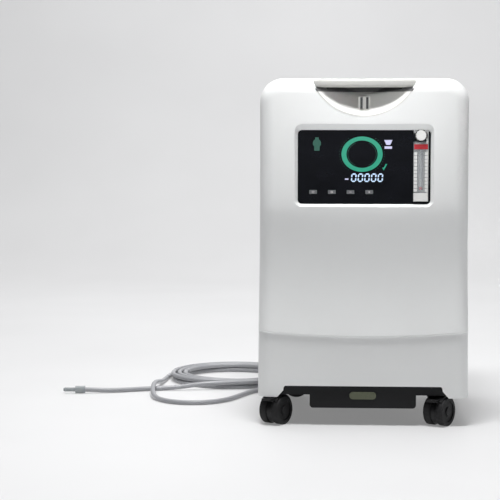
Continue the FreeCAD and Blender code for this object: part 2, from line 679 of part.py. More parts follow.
bezel = box("SwitchBezel", 26, 2.5, 34, SWITCH_X, FLOOR_TOP + " + 1.35", "$panel_level - 17")
housing = box("SwitchHousing", 21.6, 22, 29.6, SWITCH_X, FLOOR_TOP + " - 10", "$panel_level - 14.8")
housing_space = box("SwitchSpace", 18.4, 16, 26.4, SWITCH_X, FLOOR_TOP + " - 3", "$panel_level - 13.2")
node(cut("SwitchFrameCut", fuse("SwitchFrameFused", bezel, housing), housing_space), "switch_frame")

rocker_drum = rod("RockerDrum", 12.6, 17.6, SWITCH_X - 8.8, FLOOR_TOP + " - 4", "$panel_level", "x")
rocker_half = box("RockerHalf", 18, 30, 30, SWITCH_X, FLOOR_TOP + " + 11", "$panel_level - 15")
rocker_hub = rod("RockerHub", 5, 17.6, SWITCH_X - 8.8, FLOOR_TOP + " - 4", "$panel_level", "x")
rocker_dip = rod("RockerDip", 40, 30, SWITCH_X - 15, FLOOR_TOP + " + 45.5", "$panel_level", "x")
rocker = cut("RockerCut", common("RockerCommon", rocker_drum, rocker_half), rocker_dip)
ROCKER_TILT = -8  # at rest the rocker is pressed to its off side
rocker_whole = group("RockerTilted", fuse("RockerFused", rocker, rocker_hub))
doc.recompute()
rocker_pivot = Vector(0, REAR + 2 - size("panel_depth") - 4, size("panel_level"))
rocker_whole.Placement = Placement(Vector(), Rotation(X_AXIS, ROCKER_TILT), rocker_pivot)
node(rocker_whole, "power_rocker")

breaker_collar = rod("BreakerCollar", 8, 4, BREAKER_X, FLOOR_TOP + " + 0.1", "$panel_level", "y")
breaker_can = box("BreakerCan", 14, 24, 26, BREAKER_X, FLOOR_TOP + " - 15.2", "$panel_level - 13")
breaker_neck = rod("BreakerNeck", 6, 10, BREAKER_X, FLOOR_TOP + " - 5", "$panel_level", "y")
breaker_space = rod("BreakerSpace", 4.1, 16, BREAKER_X, FLOOR_TOP + " - 10", "$panel_level", "y")
node(cut("BreakerCut", fuse("BreakerFused", breaker_collar, breaker_can, breaker_neck), breaker_space),
     "breaker_body")
breaker_stud = rod("BreakerStud", 4, 10, BREAKER_X, FLOOR_TOP + " - 2", "$panel_level", "y")
node(rounded("BreakerRounded", breaker_stud, 0.8, lambda e: e.CenterOfMass.y > REAR - 17), "breaker_button")

outlet_nut = doc.addObject("Part::Prism", "OutletNut")
outlet_nut.Polygon = 6
outlet_nut.Placement = Placement(Vector(), TURNS["y"])
bind(outlet_nut, Circumradius=9, Height=7)
at(outlet_nut, OUTLET_X, FLOOR_TOP + " + 0.1", "$panel_level")
outlet_sleeve = rod("OutletSleeve", 6.6, 8, OUTLET_X, FLOOR_TOP + " + 7", "$panel_level", "y")
outlet_tail = rod("OutletTail", 5.8, 24, OUTLET_X, FLOOR_TOP + " - 20", "$panel_level", "y")
node(fuse("OutletFused", outlet_nut, outlet_sleeve, outlet_tail), "outlet_fitting")

door = body_of("DoorBody")
pad(door, rectangle(door, "door_face", "XY_Plane", "$door_width - 4", "$door_height - 1.2",
                    ("$door_x + 1.4", "$door_level")), 3, True)
soften(door, 7, runs_along(Z_AXIS))
slots = rectangle(door, "door_slot", "XY_Plane", 120, 4, (0, "$door_level - 45"))
first_slot = pocket_through(door, slots)
doc.recompute()
rows = door.newObject("PartDesign::LinearPattern", "door_slots")
rows.Originals = [first_slot]
rows.Direction = (slots, ["V_Axis"])
rows.Length = 90
rows.Occurrences = 10
door.Tip = rows
place_in_front(door, "$body_depth / 2 - 3")
hinge_barrel = rod("DoorBarrel", "$barrel_radius", "$door_height - 20", "$door_x - $door_width / 2 + 3.4",
                   REAR_Y + " - $barrel_radius", "$door_level - $door_height / 2 + 10")
node(fuse("DoorFused", door, hinge_barrel), "filter_door")

tray_block = box("TrayBlock", "$door_width + 16", 22, "$door_height + 16", 0, REAR_Y + " - 3.5 - 11",
                 "$door_level - $door_height / 2 - 8")
tray_hollow = box("TrayHollow", "$door_width + 2", 20, "$door_height", 0, REAR_Y + " - 3.5 - 9",
                  "$door_level - $door_height / 2")
tray_grid = box("TrayWindow", 130, 30, 100, 0, REAR_Y + " - 20", "$door_level - 50")
node(cut("TrayCut", tray_block, tray_hollow, tray_grid), "filter_tray")
foam = box("Foam", "$door_width - 14", 11.2, "$door_height - 2", 3, REAR_Y + " - 16.6",
           "$door_level - $door_height / 2 + 1")
node(foam, "intake_filter")

grille = body_of("GrilleBody")
pad(grille, rectangle(grille, "grille_face", "XY_Plane", "$grille_width - 0.8", "$grille_height - 0.8",
                      (0, "$grille_level")), 3, True)
soften(grille, 7.6, runs_along(Z_AXIS))
grille_slot = rectangle(grille, "grille_slot", "XY_Plane", 84, 6, (-46, "$grille_level - 48"))
add_rectangle(grille_slot, 84, 6, (46, "$grille_level - 48"))
first_row = pocket_through(grille, grille_slot)
doc.recompute()
grille_rows = grille.newObject("PartDesign::LinearPattern", "grille_rows")
grille_rows.Originals = [first_row]
grille_rows.Direction = (grille_slot, ["V_Axis"])
grille_rows.Length = 96
grille_rows.Occurrences = 9
grille.Tip = grille_rows
place_in_front(grille, REAR_Y + " - 3")
node(grille, "exhaust_grille")

# ---------------------------------------------------------------- inside

wall_plate = box("FrameWall", 330, 2.5, 480, 0, "$frame_y", "$base_plate + 4")
shelf = box("FrameShelf", 330, 190, 2.5, 0, "$frame_y + 95", "$shelf_level")
flanges = [box(f"FrameFlange{k}", 2.5, 190, 238, side * 163.75, "$frame_y + 95", "$base_plate + 4")
           for k, side in enumerate((-1, 1))]
node(fuse("FrameFused", wall_plate, shelf, *flanges), "chassis_frame")

COMP_Y = 28
COMP_Z = 150
crankcase = box("Crankcase", 96, 92, 96, 0, COMP_Y, COMP_Z - 48)
motor_can = rod("MotorCan", 44, 60, 0, COMP_Y - 76, COMP_Z, "y")
comp_foot = box("CompressorFoot", 150, 120, 5, 0, COMP_Y, COMP_Z - 53)
node(fuse("CompressorFused", rounded("CrankRound", crankcase, 8, runs_along(Y_AXIS)), motor_can, comp_foot),
     "compressor_body")
heads = []
for side in (-1, 1):
    head = rod(f"Head{side + 1}", 30, 34, 48.2 if side > 0 else -82.2, COMP_Y, COMP_Z, "x")
    fins = [cut(f"HeadFin{side + 1}_{k}",
                rod(f"FinDisc{side + 1}_{k}", 35, 2, side * (53 + 7 * k) - 1, COMP_Y, COMP_Z, "x"),
                rod(f"FinHole{side + 1}_{k}", 29, 4, side * (53 + 7 * k) - 2, COMP_Y, COMP_Z, "x"))
            for k in range(4)]
    heads.append(fuse(f"HeadFused{side + 1}", head, *fins))
node(group("HeadGroup", *heads), "compressor_heads")

mounts = []
for side in (-1, 1):
    for end in (-1, 1):
        mounts.append(rod(f"Mount{side + 1}{end + 1}", 9, COMP_Z - 53.3 - 34.2, side * 64,
                          COMP_Y + end * 48, 34.1))
node(group("MountGroup", *mounts), "isolation_mounts")

FAN_Z = "$grille_level"
fan_frame = box("FanFrame", "$fan_size", "$fan_depth", "$fan_size", 0, REAR_Y + " - 4 - $fan_depth / 2",
                FAN_Z + " - $fan_size / 2")
fan_throat = rod("FanThroat", "$fan_size / 2 - 4", "$fan_depth + 4", 0,
                 REAR_Y + " - 6 - $fan_depth", FAN_Z, "y")
strut = box("FanStrut", "$fan_size - 2", 3, 8, 0, REAR_Y + " - 2.5 - $fan_depth", FAN_Z + " - 4")
strut_up = box("FanStrutUp", 8, 3, "$fan_size - 2", 0, REAR_Y + " - 2.5 - $fan_depth",
               FAN_Z + " - $fan_size / 2 + 1")
fan_hub_seat = rod("FanHubSeat", 16, 3, 0, REAR_Y + " - 4 - $fan_depth", FAN_Z, "y")
fan_ring = cut("FanRing", fan_frame, fan_throat)
node(fuse("FanFused", fan_ring, strut, strut_up, fan_hub_seat), "fan_housing")

fan_hub = rod("FanHub", 18, 14, 0, REAR_Y + " - $fan_depth", FAN_Z, "y")
blades = []
for k in range(7):
    blade = doc.addObject("Part::Box", f"FanBlade{k}")
    bind(blade, Length=12, Width=2, Height=33)
    tilt = Rotation(Vector(0, 1, 0), 360 * k / 7).multiply(Rotation(Z_AXIS, 38))
    middle = tilt.multVec(Vector(-6, -1, 16))
    blade.Placement = Placement(Vector(), tilt)
    at(blade, f"{middle.x:.5f}", REAR_Y + f" - $fan_depth + 7 + ({middle.y:.5f})",
       FAN_Z + f" + ({middle.z:.5f})")
    blades.append(blade)
node(fuse("FanRotorFused", fan_hub, *blades), "fan_rotor")

for side, label in ((-1, "sieve_tank_left"), (1, "sieve_tank_right")):
    can = rod("Can" + label, "$sieve_radius", "$sieve_height - 16", side * 100, 22, "$shelf_level + 11")
    lids = [rod(f"Lid{k}" + label, "$sieve_radius + 3", 8, side * 100, 22,
                f"$shelf_level + 2.8 + {k} * ($sieve_height - 8)") for k in (0, 1)]
    node(fuse("Fused" + label, can, *lids), label)

tank = rod("TankCan", 32, 170, 0, 4, "$shelf_level + 2.8")
tank_neck = rod("TankNeck", 6, 16, 0, 4, "$shelf_level + 172")
node(rounded("TankRounded", fuse("TankFused", tank, tank_neck), 6,
             lambda e: abs(e.Length - 64 * math.pi) < 1 and e.CenterOfMass.z > 400), "product_tank")

manifold = box("Manifold", 110, 34, 30, 0, 82, "$shelf_level + 2.8")
coils = [rod(f"Solenoid{k}", 11, 36, -36 + 24 * k, 82, "$shelf_level + 32") for k in range(4)]
node(fuse("ManifoldFused", manifold, *coils), "valve_manifold")

cooler_fins = [box(f"CoolerFin{k}", 1.2, 30, 50, -66 + 6 * k, 118, 249.6) for k in range(23)]
cooler_tubes = [rod(f"CoolerTube{k}", 4, 140, -70, 118, 259.6 + 15 * k, "x") for k in range(3)]
node(fuse("CoolerFused", *cooler_tubes, *cooler_fins), "heat_exchanger")

SILENCER_X = -140
silencer = rod("Silencer", 20, 84, SILENCER_X, 108, 130)
silencer_ends = [rod(f"SilencerEnd{k}", 22, 6, SILENCER_X, 108, 126 + 86 * k) for k in (0, 1)]
node(fuse("SilencerFused", silencer, *silencer_ends), "exhaust_silencer")

main_pcb = box("MainPcb", 200, 1.6, 130, 0, "$frame_y - 8", 322)
main_parts = [
    box("MainHeatSink", 60, 22, 40, -60, "$frame_y - 19", 340),
    rod("MainCapacitor", 12, 28, 20, "$frame_y - 36", 362, "y"),
    rod("MainCapacitor2", 12, 28, 50, "$frame_y - 36", 362, "y"),
    box("MainRelay", 30, 18, 24, -50, "$frame_y - 17", 410),
    box("MainPlugs", 60, 10, 12, 50, "$frame_y - 13", 428),
]
node(fuse("MainFused", main_pcb, *main_parts), "main_board")

core = box("TransformerCore", 76, 34, 62, 90, "$frame_y - 40", "$base_plate + 4.1")
winding = box("TransformerWinding", 50, 60, 40, 90, "$frame_y - 40", "$base_plate + 15")
node(fuse("TransformerFused", core, winding), "transformer")


def rounded_path(points, share=0.45):
    """Straight runs joined by tangent arcs, each arc as large as its two runs allow."""
    here = Vector(*points[0])
    edges = []
    radii = []
    for before, corner, after in zip(points, points[1:], points[2:]):
        before, corner, after = Vector(*before), Vector(*corner), Vector(*after)
        way_in = corner - before
        way_out = after - corner
        turn = way_in.getAngle(way_out)
        reach = share * min(way_in.Length, way_out.Length)
        radii.append(reach / math.tan(turn / 2))
        way_in.normalize()
        way_out.normalize()
        start = corner - way_in * reach
        end = corner + way_out * reach
        inward = way_out - way_in
        inward.normalize()
        middle = corner + inward * (radii[-1] / math.cos(turn / 2) - radii[-1])
        edges += [Part.LineSegment(here, start).toShape(), Part.Arc(start, middle, end).toShape()]
        here = end
    edges.append(Part.LineSegment(here, Vector(*points[-1])).toShape())
    return Part.Wire(edges), radii


def tube(points, diameter, name):
    """A solid tube along a rounded path. It prints its length and its tightest bend."""
    path, radii = rounded_path(points)
    start = Vector(*points[0])
    along = Vector(*points[1]) - start
    ring = Part.Wire(Part.makeCircle(diameter / 2, start, along))
    solid = path.makePipeShell([ring], True, True)
    expected = math.pi * diameter ** 2 / 4 * path.Length
    print(f"{name}: length {path.Length:.0f}, tightest bend {min(radii):.0f}, "
          f"volume share {solid.Volume / expected:.4f}")
    return solid


feed = [(-64, 28, 185.4), (-64, 31, 216), (-74, 43, 244), (-96, 62, 260), (-120, 82, 260),
        (-138, 100, 244), (SILENCER_X, 108, 218.6)]
product = [(0, 4, 489.5), (0, 4, 516), (18, -4, 540), (30, -20, 547), (30, -34, 547)]
node(group("HoseGroup", shaped("FeedHose", tube(feed, 9, "feed hose")),
           shaped("ProductHose", tube(product, 7, "product hose"))), "internal_hoses")

screws = []
for k, (screw_x, screw_z) in enumerate(SCREWS):
    shank = rod(f"ScrewShank{k}", 2, 12, screw_x, REAR_Y + " - 14.1", screw_z, "y")
    head = rod(f"ScrewHead{k}", 3.8, 1.8, screw_x, REAR_Y + " - 2.1", screw_z, "y")
    screws.append(fuse(f"Screw{k}", shank, head))
node(group("ScrewGroup", *screws), "cover_screws")

# ---------------------------------------------------------------- oxygen tube

FLOOR = size("tube_diameter") / 2 + 0.2
EXIT_Y = REAR + 2 - size("panel_depth") + 15
PANEL_Z = size("panel_level")
COIL_X = size("coil_x")
COIL_Y = size("coil_y")
COIL_LEFT = COIL_X - size("coil_outer") + 5
COIL_ENTRY_Y = COIL_Y - 38
LEAD_Y = COIL_Y - size("coil_outer") + 9

# Out of the fitting, down behind the body, forward along its left side and back into the coil.
OUTLET_ROUTE = [
    (OUTLET_X, EXIT_Y, PANEL_Z), (OUTLET_X, 214, PANEL_Z), (-80, 248, 310), (-84, 272, 280),
    (-91, 284, 240), (-100, 288, 196), (-109, 288, 151), (-119, 284, 107), (-131, 272, 67),
    (-143, 246, 36), (-162, 216, 14), (-190, 186, FLOOR), (-214, 150, FLOOR), (-230, 110, FLOOR),
    (-246, 68, FLOOR), (-274, 34, FLOOR), (-315, 20, FLOOR), (-356, 32, FLOOR), (-384, 64, FLOOR),
    (-397, 102, 8), (-401, 142, 17), (-401, 184, 17.4), (-398, 224, 12), (-396, 260, 6.5),
    (COIL_LEFT, COIL_ENTRY_Y, FLOOR),
]
# Off the top of the coil's front, down to the floor, and left to the connector.
LEAD_ROUTE = [
    (COIL_X - 51, LEAD_Y - 2, 12.8), (-342, LEAD_Y - 6, 7.5), (-380, LEAD_Y - 13, FLOOR),
    (-420, LEAD_Y - 22, FLOOR), (-458, LEAD_Y - 38, FLOOR), (-496, LEAD_Y - 50, FLOOR + 0.6),
    (-534, LEAD_Y - 53, 7.2),
]
LEAD_END = LEAD_ROUTE[-1]

node(shaped("OutletTube", tube(OUTLET_ROUTE, size("tube_diameter"), "outlet tube")), "oxygen_tube")
node(shaped("LeadTube", tube(LEAD_ROUTE, size("tube_diameter"), "lead tube")), "tube_lead")

coil_disc = rod("CoilDisc", "$coil_outer", "2 * $tube_diameter + 0.6", "$coil_x", "$coil_y", 0)
coil_hole = rod("CoilHole", "$coil_inner", 60, "$coil_x", "$coil_y", -20)
node(rounded("CoilRounded", cut("CoilCut", coil_disc, coil_hole), 4,
             lambda e: e.Length > 500), "tube_coil")

end = Vector(*LEAD_END)
heading = end - Vector(*LEAD_ROUTE[-2])
heading.z = 0
heading.normalize()
socket = Part.makeCylinder(7, 16, end, heading)
collar = Part.makeCylinder(7, 3, end + heading * 16, heading)
nozzle = Part.makeCylinder(4, 20, end + heading * 19, heading)
tip = Part.makeCone(4, 3, 3, end + heading * 39, heading)
node(shaped("Connector", socket.fuse([collar, nozzle, tip]).removeSplitter()), "tube_connector")
print("nozzle from", end + heading * 19, "towards", heading)

# ---------------------------------------------------------------- check and write

doc.recompute()
faults = [o.Label for o in doc.Objects if {"Invalid", "Error"} & set(o.State)]
faults += [o.Label for o in nodes if o.Shape.isNull() or not o.Shape.isValid() or not o.Shape.Solids]
if faults:
    raise RuntimeError("failed: " + ", ".join(faults))
os.makedirs("parts", exist_ok=True)
for item in nodes:
    item.Shape.exportStep(f"parts/{item.Label}.step")
print(len(nodes), "nodes written")
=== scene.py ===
"""The looks of a floor-standing oxygen concentrator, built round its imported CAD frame.

Metres. +Z is up, the front with the display faces -Y. Places come from the frame's own nodes where
they can. The tube's route, the front's waist, the arch between the feet and the scoop's arc follow the
CAD model's numbers, the waist and its lip more finely. The display's picture is added here.
"""

import json
import math

import bmesh
import bpy
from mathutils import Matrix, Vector


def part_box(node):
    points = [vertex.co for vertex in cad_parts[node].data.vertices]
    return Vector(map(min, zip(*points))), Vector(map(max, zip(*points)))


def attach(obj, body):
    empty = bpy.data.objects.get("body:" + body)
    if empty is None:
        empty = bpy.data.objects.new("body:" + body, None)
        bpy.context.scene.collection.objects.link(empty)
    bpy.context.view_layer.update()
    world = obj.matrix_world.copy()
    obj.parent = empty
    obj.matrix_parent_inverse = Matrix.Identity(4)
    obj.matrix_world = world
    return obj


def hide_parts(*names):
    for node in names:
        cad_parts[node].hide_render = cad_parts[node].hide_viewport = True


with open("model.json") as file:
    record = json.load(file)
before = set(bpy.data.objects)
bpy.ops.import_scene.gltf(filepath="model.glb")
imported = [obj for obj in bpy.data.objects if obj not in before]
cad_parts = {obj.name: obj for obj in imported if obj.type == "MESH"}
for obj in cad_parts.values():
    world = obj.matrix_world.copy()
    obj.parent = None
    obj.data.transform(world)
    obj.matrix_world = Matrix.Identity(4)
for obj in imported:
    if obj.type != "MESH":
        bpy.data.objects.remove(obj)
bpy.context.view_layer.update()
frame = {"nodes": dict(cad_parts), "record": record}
MM = 0.001
scene = bpy.context.scene

# ---------------------------------------------------------------- camera

CAMERA_AIM = Vector((-0.205, 0.0, 0.292))
CAMERA_DISTANCE = 3.0
CAMERA_AZIMUTH = math.radians(3.2)
CAMERA_ELEVATION = math.radians(4.5)
CAMERA_LENS = 118

camera_data = bpy.data.cameras.new("camera")
camera_data.lens = CAMERA_LENS
camera = bpy.data.objects.new("camera", camera_data)
scene.collection.objects.link(camera)
towards_camera = Vector((
    math.sin(CAMERA_AZIMUTH) * math.cos(CAMERA_ELEVATION),
    -math.cos(CAMERA_AZIMUTH) * math.cos(CAMERA_ELEVATION),
    math.sin(CAMERA_ELEVATION),
))
camera.location = CAMERA_AIM + towards_camera * CAMERA_DISTANCE
camera.rotation_euler = (-towards_camera).to_track_quat("-Z", "Y").to_euler()
scene.camera = camera

# ---------------------------------------------------------------- node materials

RANGE_SOCKETS = ("From Min", "From Max", "To Min", "To Max")


class Recipe:
    """A node material under construction."""

    def __init__(self, name, rough=0.4, metal=0.0, **uniform):
        self.material = bpy.data.materials.new(name)
        self.material.use_nodes = True
        self.tree = self.material.node_tree
        self.shader = self.tree.nodes["Principled BSDF"]
        self.shader.inputs["Roughness"].default_value = rough
        self.shader.inputs["Metallic"].default_value = metal
        for socket, value in uniform.items():
            self.shader.inputs[socket.replace("_", " ")].default_value = value
        self.place = self.tree.nodes.new("ShaderNodeTexCoord").outputs["Object"]
        self.normal = None

    def add(self, kind, **settings):
        """A new node, with plain settings and input values."""
        item = self.tree.nodes.new(kind)
        for word, value in settings.items():
            if word in item.bl_rna.properties:
                setattr(item, word, value)
            else:
                item.inputs[word].default_value = value
        return item

    def link(self, source, item, socket):
        """Joins an output to one of a node's inputs."""
        self.tree.links.new(source, item.inputs[socket])

    def stretched(self, stretch):
        """Object coordinates, stretched along each axis."""
        mapping = self.add("ShaderNodeMapping", Scale=stretch)
        self.link(self.place, mapping, "Vector")
        return mapping.outputs["Vector"]

    def noise(self, scale, detail=3.0, stretch=(1, 1, 1)):
        """Noise of so many features in a metre."""
        item = self.add("ShaderNodeTexNoise", Scale=scale, Detail=detail)
        self.link(self.stretched(stretch), item, "Vector")
        return item.outputs["Fac"]

    def cells(self, scale):
        """So many cells in a metre, as the distance from their middle."""
        item = self.add("ShaderNodeTexVoronoi", Scale=scale)
        self.link(self.place, item, "Vector")
        return item.outputs["Distance"]

    def spread(self, source, low, high, start=0.3, stop=0.7):
        """A number from low to high as the source goes from start to stop."""
        item = self.add("ShaderNodeMapRange")
        for socket, value in zip(RANGE_SOCKETS, (start, stop, low, high)):
            item.inputs[socket].default_value = value
        self.link(source, item, "Value")
        return item.outputs["Result"]

    def colours(self, source, *stops):
        """Drives the base colour by a ramp with these (place, colour) stops."""
        ramp = self.add("ShaderNodeValToRGB")
        self.link(source, ramp, "Fac")
        elements = ramp.color_ramp.elements
        while len(elements) < len(stops):
            elements.new(0.5)
        for element, (place, colour) in zip(elements, stops):
            element.position = place
            element.color = (*colour, 1)
        self.link(ramp.outputs["Color"], self.shader, "Base Color")

    def rough(self, source, low, high):
        """Roughness between two values by the source."""
        self.link(self.spread(source, low, high), self.shader, "Roughness")

    def bump(self, source, height):
        """Relief of the given height in metres, on top of any before it."""
        item = self.add("ShaderNodeBump", Strength=1.0, Distance=height)
        self.link(source, item, "Height")
        if self.normal is not None:
            self.link(self.normal, item, "Normal")
        self.normal = item.outputs["Normal"]
        self.link(self.normal, self.shader, "Normal")


def near(colour, change):
    """A colour made lighter or darker by a share."""
    return tuple(min(max(part * (1 + change), 0), 1) for part in colour)


GRAIN_RELIEF = 0.02 * MM
FLOW_MARKS = 4  # flow marks are so many times as high as the grain


def moulded(name, colour, rough, grain=2200, relief=GRAIN_RELIEF, variation=0.03, **uniform):
    """Moulded plastic: fine spark-eroded grain, faint flow marks and a little handling shine."""
    recipe = Recipe(name, rough, **uniform)
    cloudy = recipe.noise(9, 4)
    recipe.colours(cloudy, (0.3, near(colour, -variation)), (0.7, near(colour, variation)))
    recipe.rough(recipe.noise(26, 5), rough * 0.88, min(rough * 1.14, 1))
    recipe.bump(recipe.noise(grain, 2), relief)
    recipe.bump(recipe.noise(14, 1), relief * FLOW_MARKS)
    return recipe.material


def brushed(name, colour, rough, stretch=(1, 1, 40), grain=60):
    """Metal with drawn or turned marks along one axis."""
    recipe = Recipe(name, rough, 1.0)
    marks = recipe.noise(grain, 4, stretch)
    recipe.colours(marks, (0.3, near(colour, -0.12)), (0.7, near(colour, 0.1)))
    recipe.rough(marks, rough * 0.75, rough * 1.35)
    recipe.bump(marks, 0.03 * MM)
    return recipe.material


def glowing(name, colour, strength):
    """A lit part of the display, on a dark base."""
    recipe = Recipe(name, 0.35, Emission_Strength=strength)
    dark = near(colour, -0.9)
    recipe.colours(recipe.noise(300, 1), (0.3, near(dark, -0.1)), (0.7, near(dark, 0.1)))
    recipe.shader.inputs["Emission Color"].default_value = (*colour, 1)
    return recipe.material


SHELL_COLOUR = (0.83, 0.84, 0.835)
BLACK = (0.012, 0.0125, 0.0135)

shell_white = moulded("shell_white", SHELL_COLOUR, 0.34, variation=0.012, Coat_Weight=0.12,
                      Coat_Roughness=0.25)
insert_grey = moulded("insert_grey", (0.50, 0.50, 0.475), 0.46, variation=0.02)
black_plastic = moulded("black_plastic", BLACK, 0.5, grain=1400, relief=0.06 * MM, variation=0.15,
                        Specular_IOR_Level=0.22)
caster_black = moulded("caster_black", (0.008, 0.0082, 0.009), 0.36, relief=0.03 * MM,
                       variation=0.2, Specular_IOR_Level=0.3)
vent_grey = moulded("vent_grey", (0.70, 0.705, 0.70), 0.45, grain=1600, relief=0.05 * MM)
key_grey = moulded("key_grey", (0.15, 0.155, 0.165), 0.42)
signal_white = moulded("signal_white", (0.84, 0.84, 0.82), 0.24, Coat_Weight=0.3)
signal_red = moulded("signal_red", (0.50, 0.02, 0.03), 0.22, Coat_Weight=0.4)
fitting_green = moulded("fitting_green", (0.06, 0.30, 0.13), 0.25, Transmission_Weight=0.25)
device_black = moulded("device_black", (0.028, 0.029, 0.031), 0.3, relief=0.01 * MM,
                       variation=0.1)
connector_clear = moulded("connector_clear", (0.40, 0.43, 0.44), 0.2, Transmission_Weight=0.3)
circuit_green = moulded("circuit_green", (0.01, 0.10, 0.04), 0.35)
tank_paint = moulded("tank_blue_grey", (0.16, 0.20, 0.25), 0.45, grain=700, relief=0.1 * MM)
rubber_black = moulded("wheel_rubber", (0.013, 0.013, 0.014), 0.62, grain=900, relief=0.08 * MM,
                       variation=0.2, Specular_IOR_Level=0.3)
zinc = brushed("chassis_zinc", (0.55, 0.56, 0.58), 0.36, (1, 1, 6))
cast_metal = brushed("cast_aluminium", (0.60, 0.61, 0.62), 0.5, (1, 1, 1), 500)
copper = brushed("copper", (0.72, 0.38, 0.22), 0.3)
steel = brushed("steel", (0.60, 0.60, 0.61), 0.28)
badge_metal = brushed("badge_metal", (0.13, 0.14, 0.10), 0.34, (40, 1, 1))


def polished_overlay():
    """The display's black overlay: deep gloss with a faint smear."""
    recipe = Recipe("panel_black", 0.08, Specular_IOR_Level=0.22)
    smear = recipe.noise(30, 3, (1, 1, 2))
    recipe.colours(smear, (0.3, (0.0030, 0.0036, 0.0055)), (0.7, (0.0048, 0.0056, 0.0085)))
    recipe.rough(smear, 0.06, 0.13)
    recipe.bump(recipe.noise(40, 1), 0.01 * MM)
    return recipe.material


def clear_block():
    """Polished acrylic, seen mostly by its gloss."""
    recipe = Recipe("clear_acrylic", 0.05, IOR=1.49, Alpha=0.2)
    recipe.colours(recipe.noise(60, 2), (0.3, (0.72, 0.76, 0.79)), (0.7, (0.78, 0.82, 0.84)))
    recipe.bump(recipe.noise(90, 1), 0.01 * MM)
    return recipe.material


def milky_tube():
    """Soft tubing: a milky wall, a little cloudy along its length."""
    recipe = Recipe("tube_silicone", 0.3, IOR=1.42, Transmission_Weight=0.12, Coat_Weight=0.15)
    cloudy = recipe.noise(6, 2)
    recipe.colours(cloudy, (0.3, (0.36, 0.365, 0.385)), (0.7, (0.40, 0.405, 0.425)))
    recipe.rough(recipe.noise(20, 2), 0.26, 0.34)
    return recipe.material


def open_foam():
    """The intake's foam: open cells."""
    recipe = Recipe("foam_grey", 0.95)
    cells = recipe.cells(700)
    recipe.colours(cells, (0.1, (0.10, 0.10, 0.11)), (0.6, (0.015, 0.015, 0.017)))
    recipe.bump(cells, 0.6 * MM)
    return recipe.material


panel_black = polished_overlay()
clear_acrylic = clear_block()
tube_silicone = milky_tube()
foam_grey = open_foam()
glow_ring = glowing("glow_ring", (0.014, 0.34, 0.21), 0.9)
glow_digit = glowing("glow_digit", (0.58, 0.76, 1.0), 1.0)
glow_icon = glowing("glow_icon", (0.66, 0.66, 0.92), 0.9)
glow_dim = glowing("glow_dim", (0.010, 0.13, 0.085), 0.6)

# ---------------------------------------------------------------- mesh helpers


def piece(name, mesh_or_bm, material, body="root", smooth_angle=35):
    """A finished object on a body: smooth faces, sharp edges above the angle."""
    if isinstance(mesh_or_bm, bmesh.types.BMesh):
        mesh = bpy.data.meshes.new(name)
        bmesh.ops.recalc_face_normals(mesh_or_bm, faces=mesh_or_bm.faces[:])
        mesh_or_bm.to_mesh(mesh)
        mesh_or_bm.free()
    else:
        mesh = mesh_or_bm
    item = bpy.data.objects.new(name, mesh)
    scene.collection.objects.link(item)
    mesh.materials.clear()
    mesh.materials.append(material)
    mesh.polygons.foreach_set("use_smooth", [True] * len(mesh.polygons))
    mesh.set_sharp_from_angle(angle=math.radians(smooth_angle))
    if body is not None:
        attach(item, body)
    return item


def lofted(loops):
    """A closed solid: quads between closed loops of equal length, the first and last loop filled."""
    bm = bmesh.new()
    rows = [[bm.verts.new(point) for point in loop] for loop in loops]
    for one, other in zip(rows, rows[1:]):
        count = len(one)
        for k in range(count):
            bm.faces.new((one[k], one[(k + 1) % count], other[(k + 1) % count], other[k]))
    bm.faces.new(rows[0])
    bm.faces.new(rows[-1][::-1])
    return bm


QUARTER_STEPS = 8  # of a loop round one of its corners


def rounded_loop(x, z, wide, high, radius, y):
    """A rounded rectangle standing at one depth."""
    points = []
    for corner_x, corner_z, start in ((1, 1, 0), (-1, 1, 90), (-1, -1, 180), (1, -1, 270)):
        for k in range(QUARTER_STEPS + 1):
            angle = math.radians(start + 90 * k / QUARTER_STEPS)
            points.append((x + corner_x * (wide / 2 - radius) + radius * math.cos(angle), y,
                           z + corner_z * (high / 2 - radius) + radius * math.sin(angle)))
    return points


def rim_steps(rim, steps):
    """A rounded rim as (how much wider, how deep), from the face inwards."""
    for k in range(steps + 1):
        angle = math.pi / 2 * k / steps
        yield rim * (1 - math.sin(angle)), rim * (1 - math.cos(angle))


def block(low, high, edge):
    """A box between two corners, its edges rounded."""
    bm = bmesh.new()
    bmesh.ops.create_cube(bm, size=1.0)
    low, high = Vector(low), Vector(high)
    for vert in bm.verts:
        vert.co = (low + high) / 2 + Vector(vert.co[k] * (high - low)[k] for k in range(3))
    bmesh.ops.bevel(bm, geom=bm.edges[:], offset=edge, segments=2, affect="EDGES", profile=0.5)
    return bm


def solid(bm):
    """A helper object, not shown, for a boolean."""
    mesh = bpy.data.meshes.new("tool")
    bmesh.ops.recalc_face_normals(bm, faces=bm.faces[:])
    bm.to_mesh(mesh)
    bm.free()
    item = bpy.data.objects.new("tool", mesh)
    scene.collection.objects.link(item)
    return item


def carved(base, *steps):
    """A mesh from a base solid and (operation, tool) steps; the helpers are removed."""
    for operation, tool in steps:
        step = base.modifiers.new("step", "BOOLEAN")
        step.operation = operation
        step.solver = "EXACT"
        step.object = tool
    evaluated = base.evaluated_get(bpy.context.evaluated_depsgraph_get())
    mesh = bpy.data.meshes.new_from_object(evaluated)
    for item in [base] + [tool for _, tool in steps]:
        bpy.data.objects.remove(item)
    return mesh


def middle(node):
    """The middle of a CAD node's box, and its size."""
    low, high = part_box(node)
    return (low + high) / 2, high - low


# ---------------------------------------------------------------- tube

TUBE = 9 * MM
FLOOR_LINE = 4.7 * MM  # the tube's middle line where it lies on the floor
TOP_LINE = 13.9 * MM  # and in the coil's upper layer

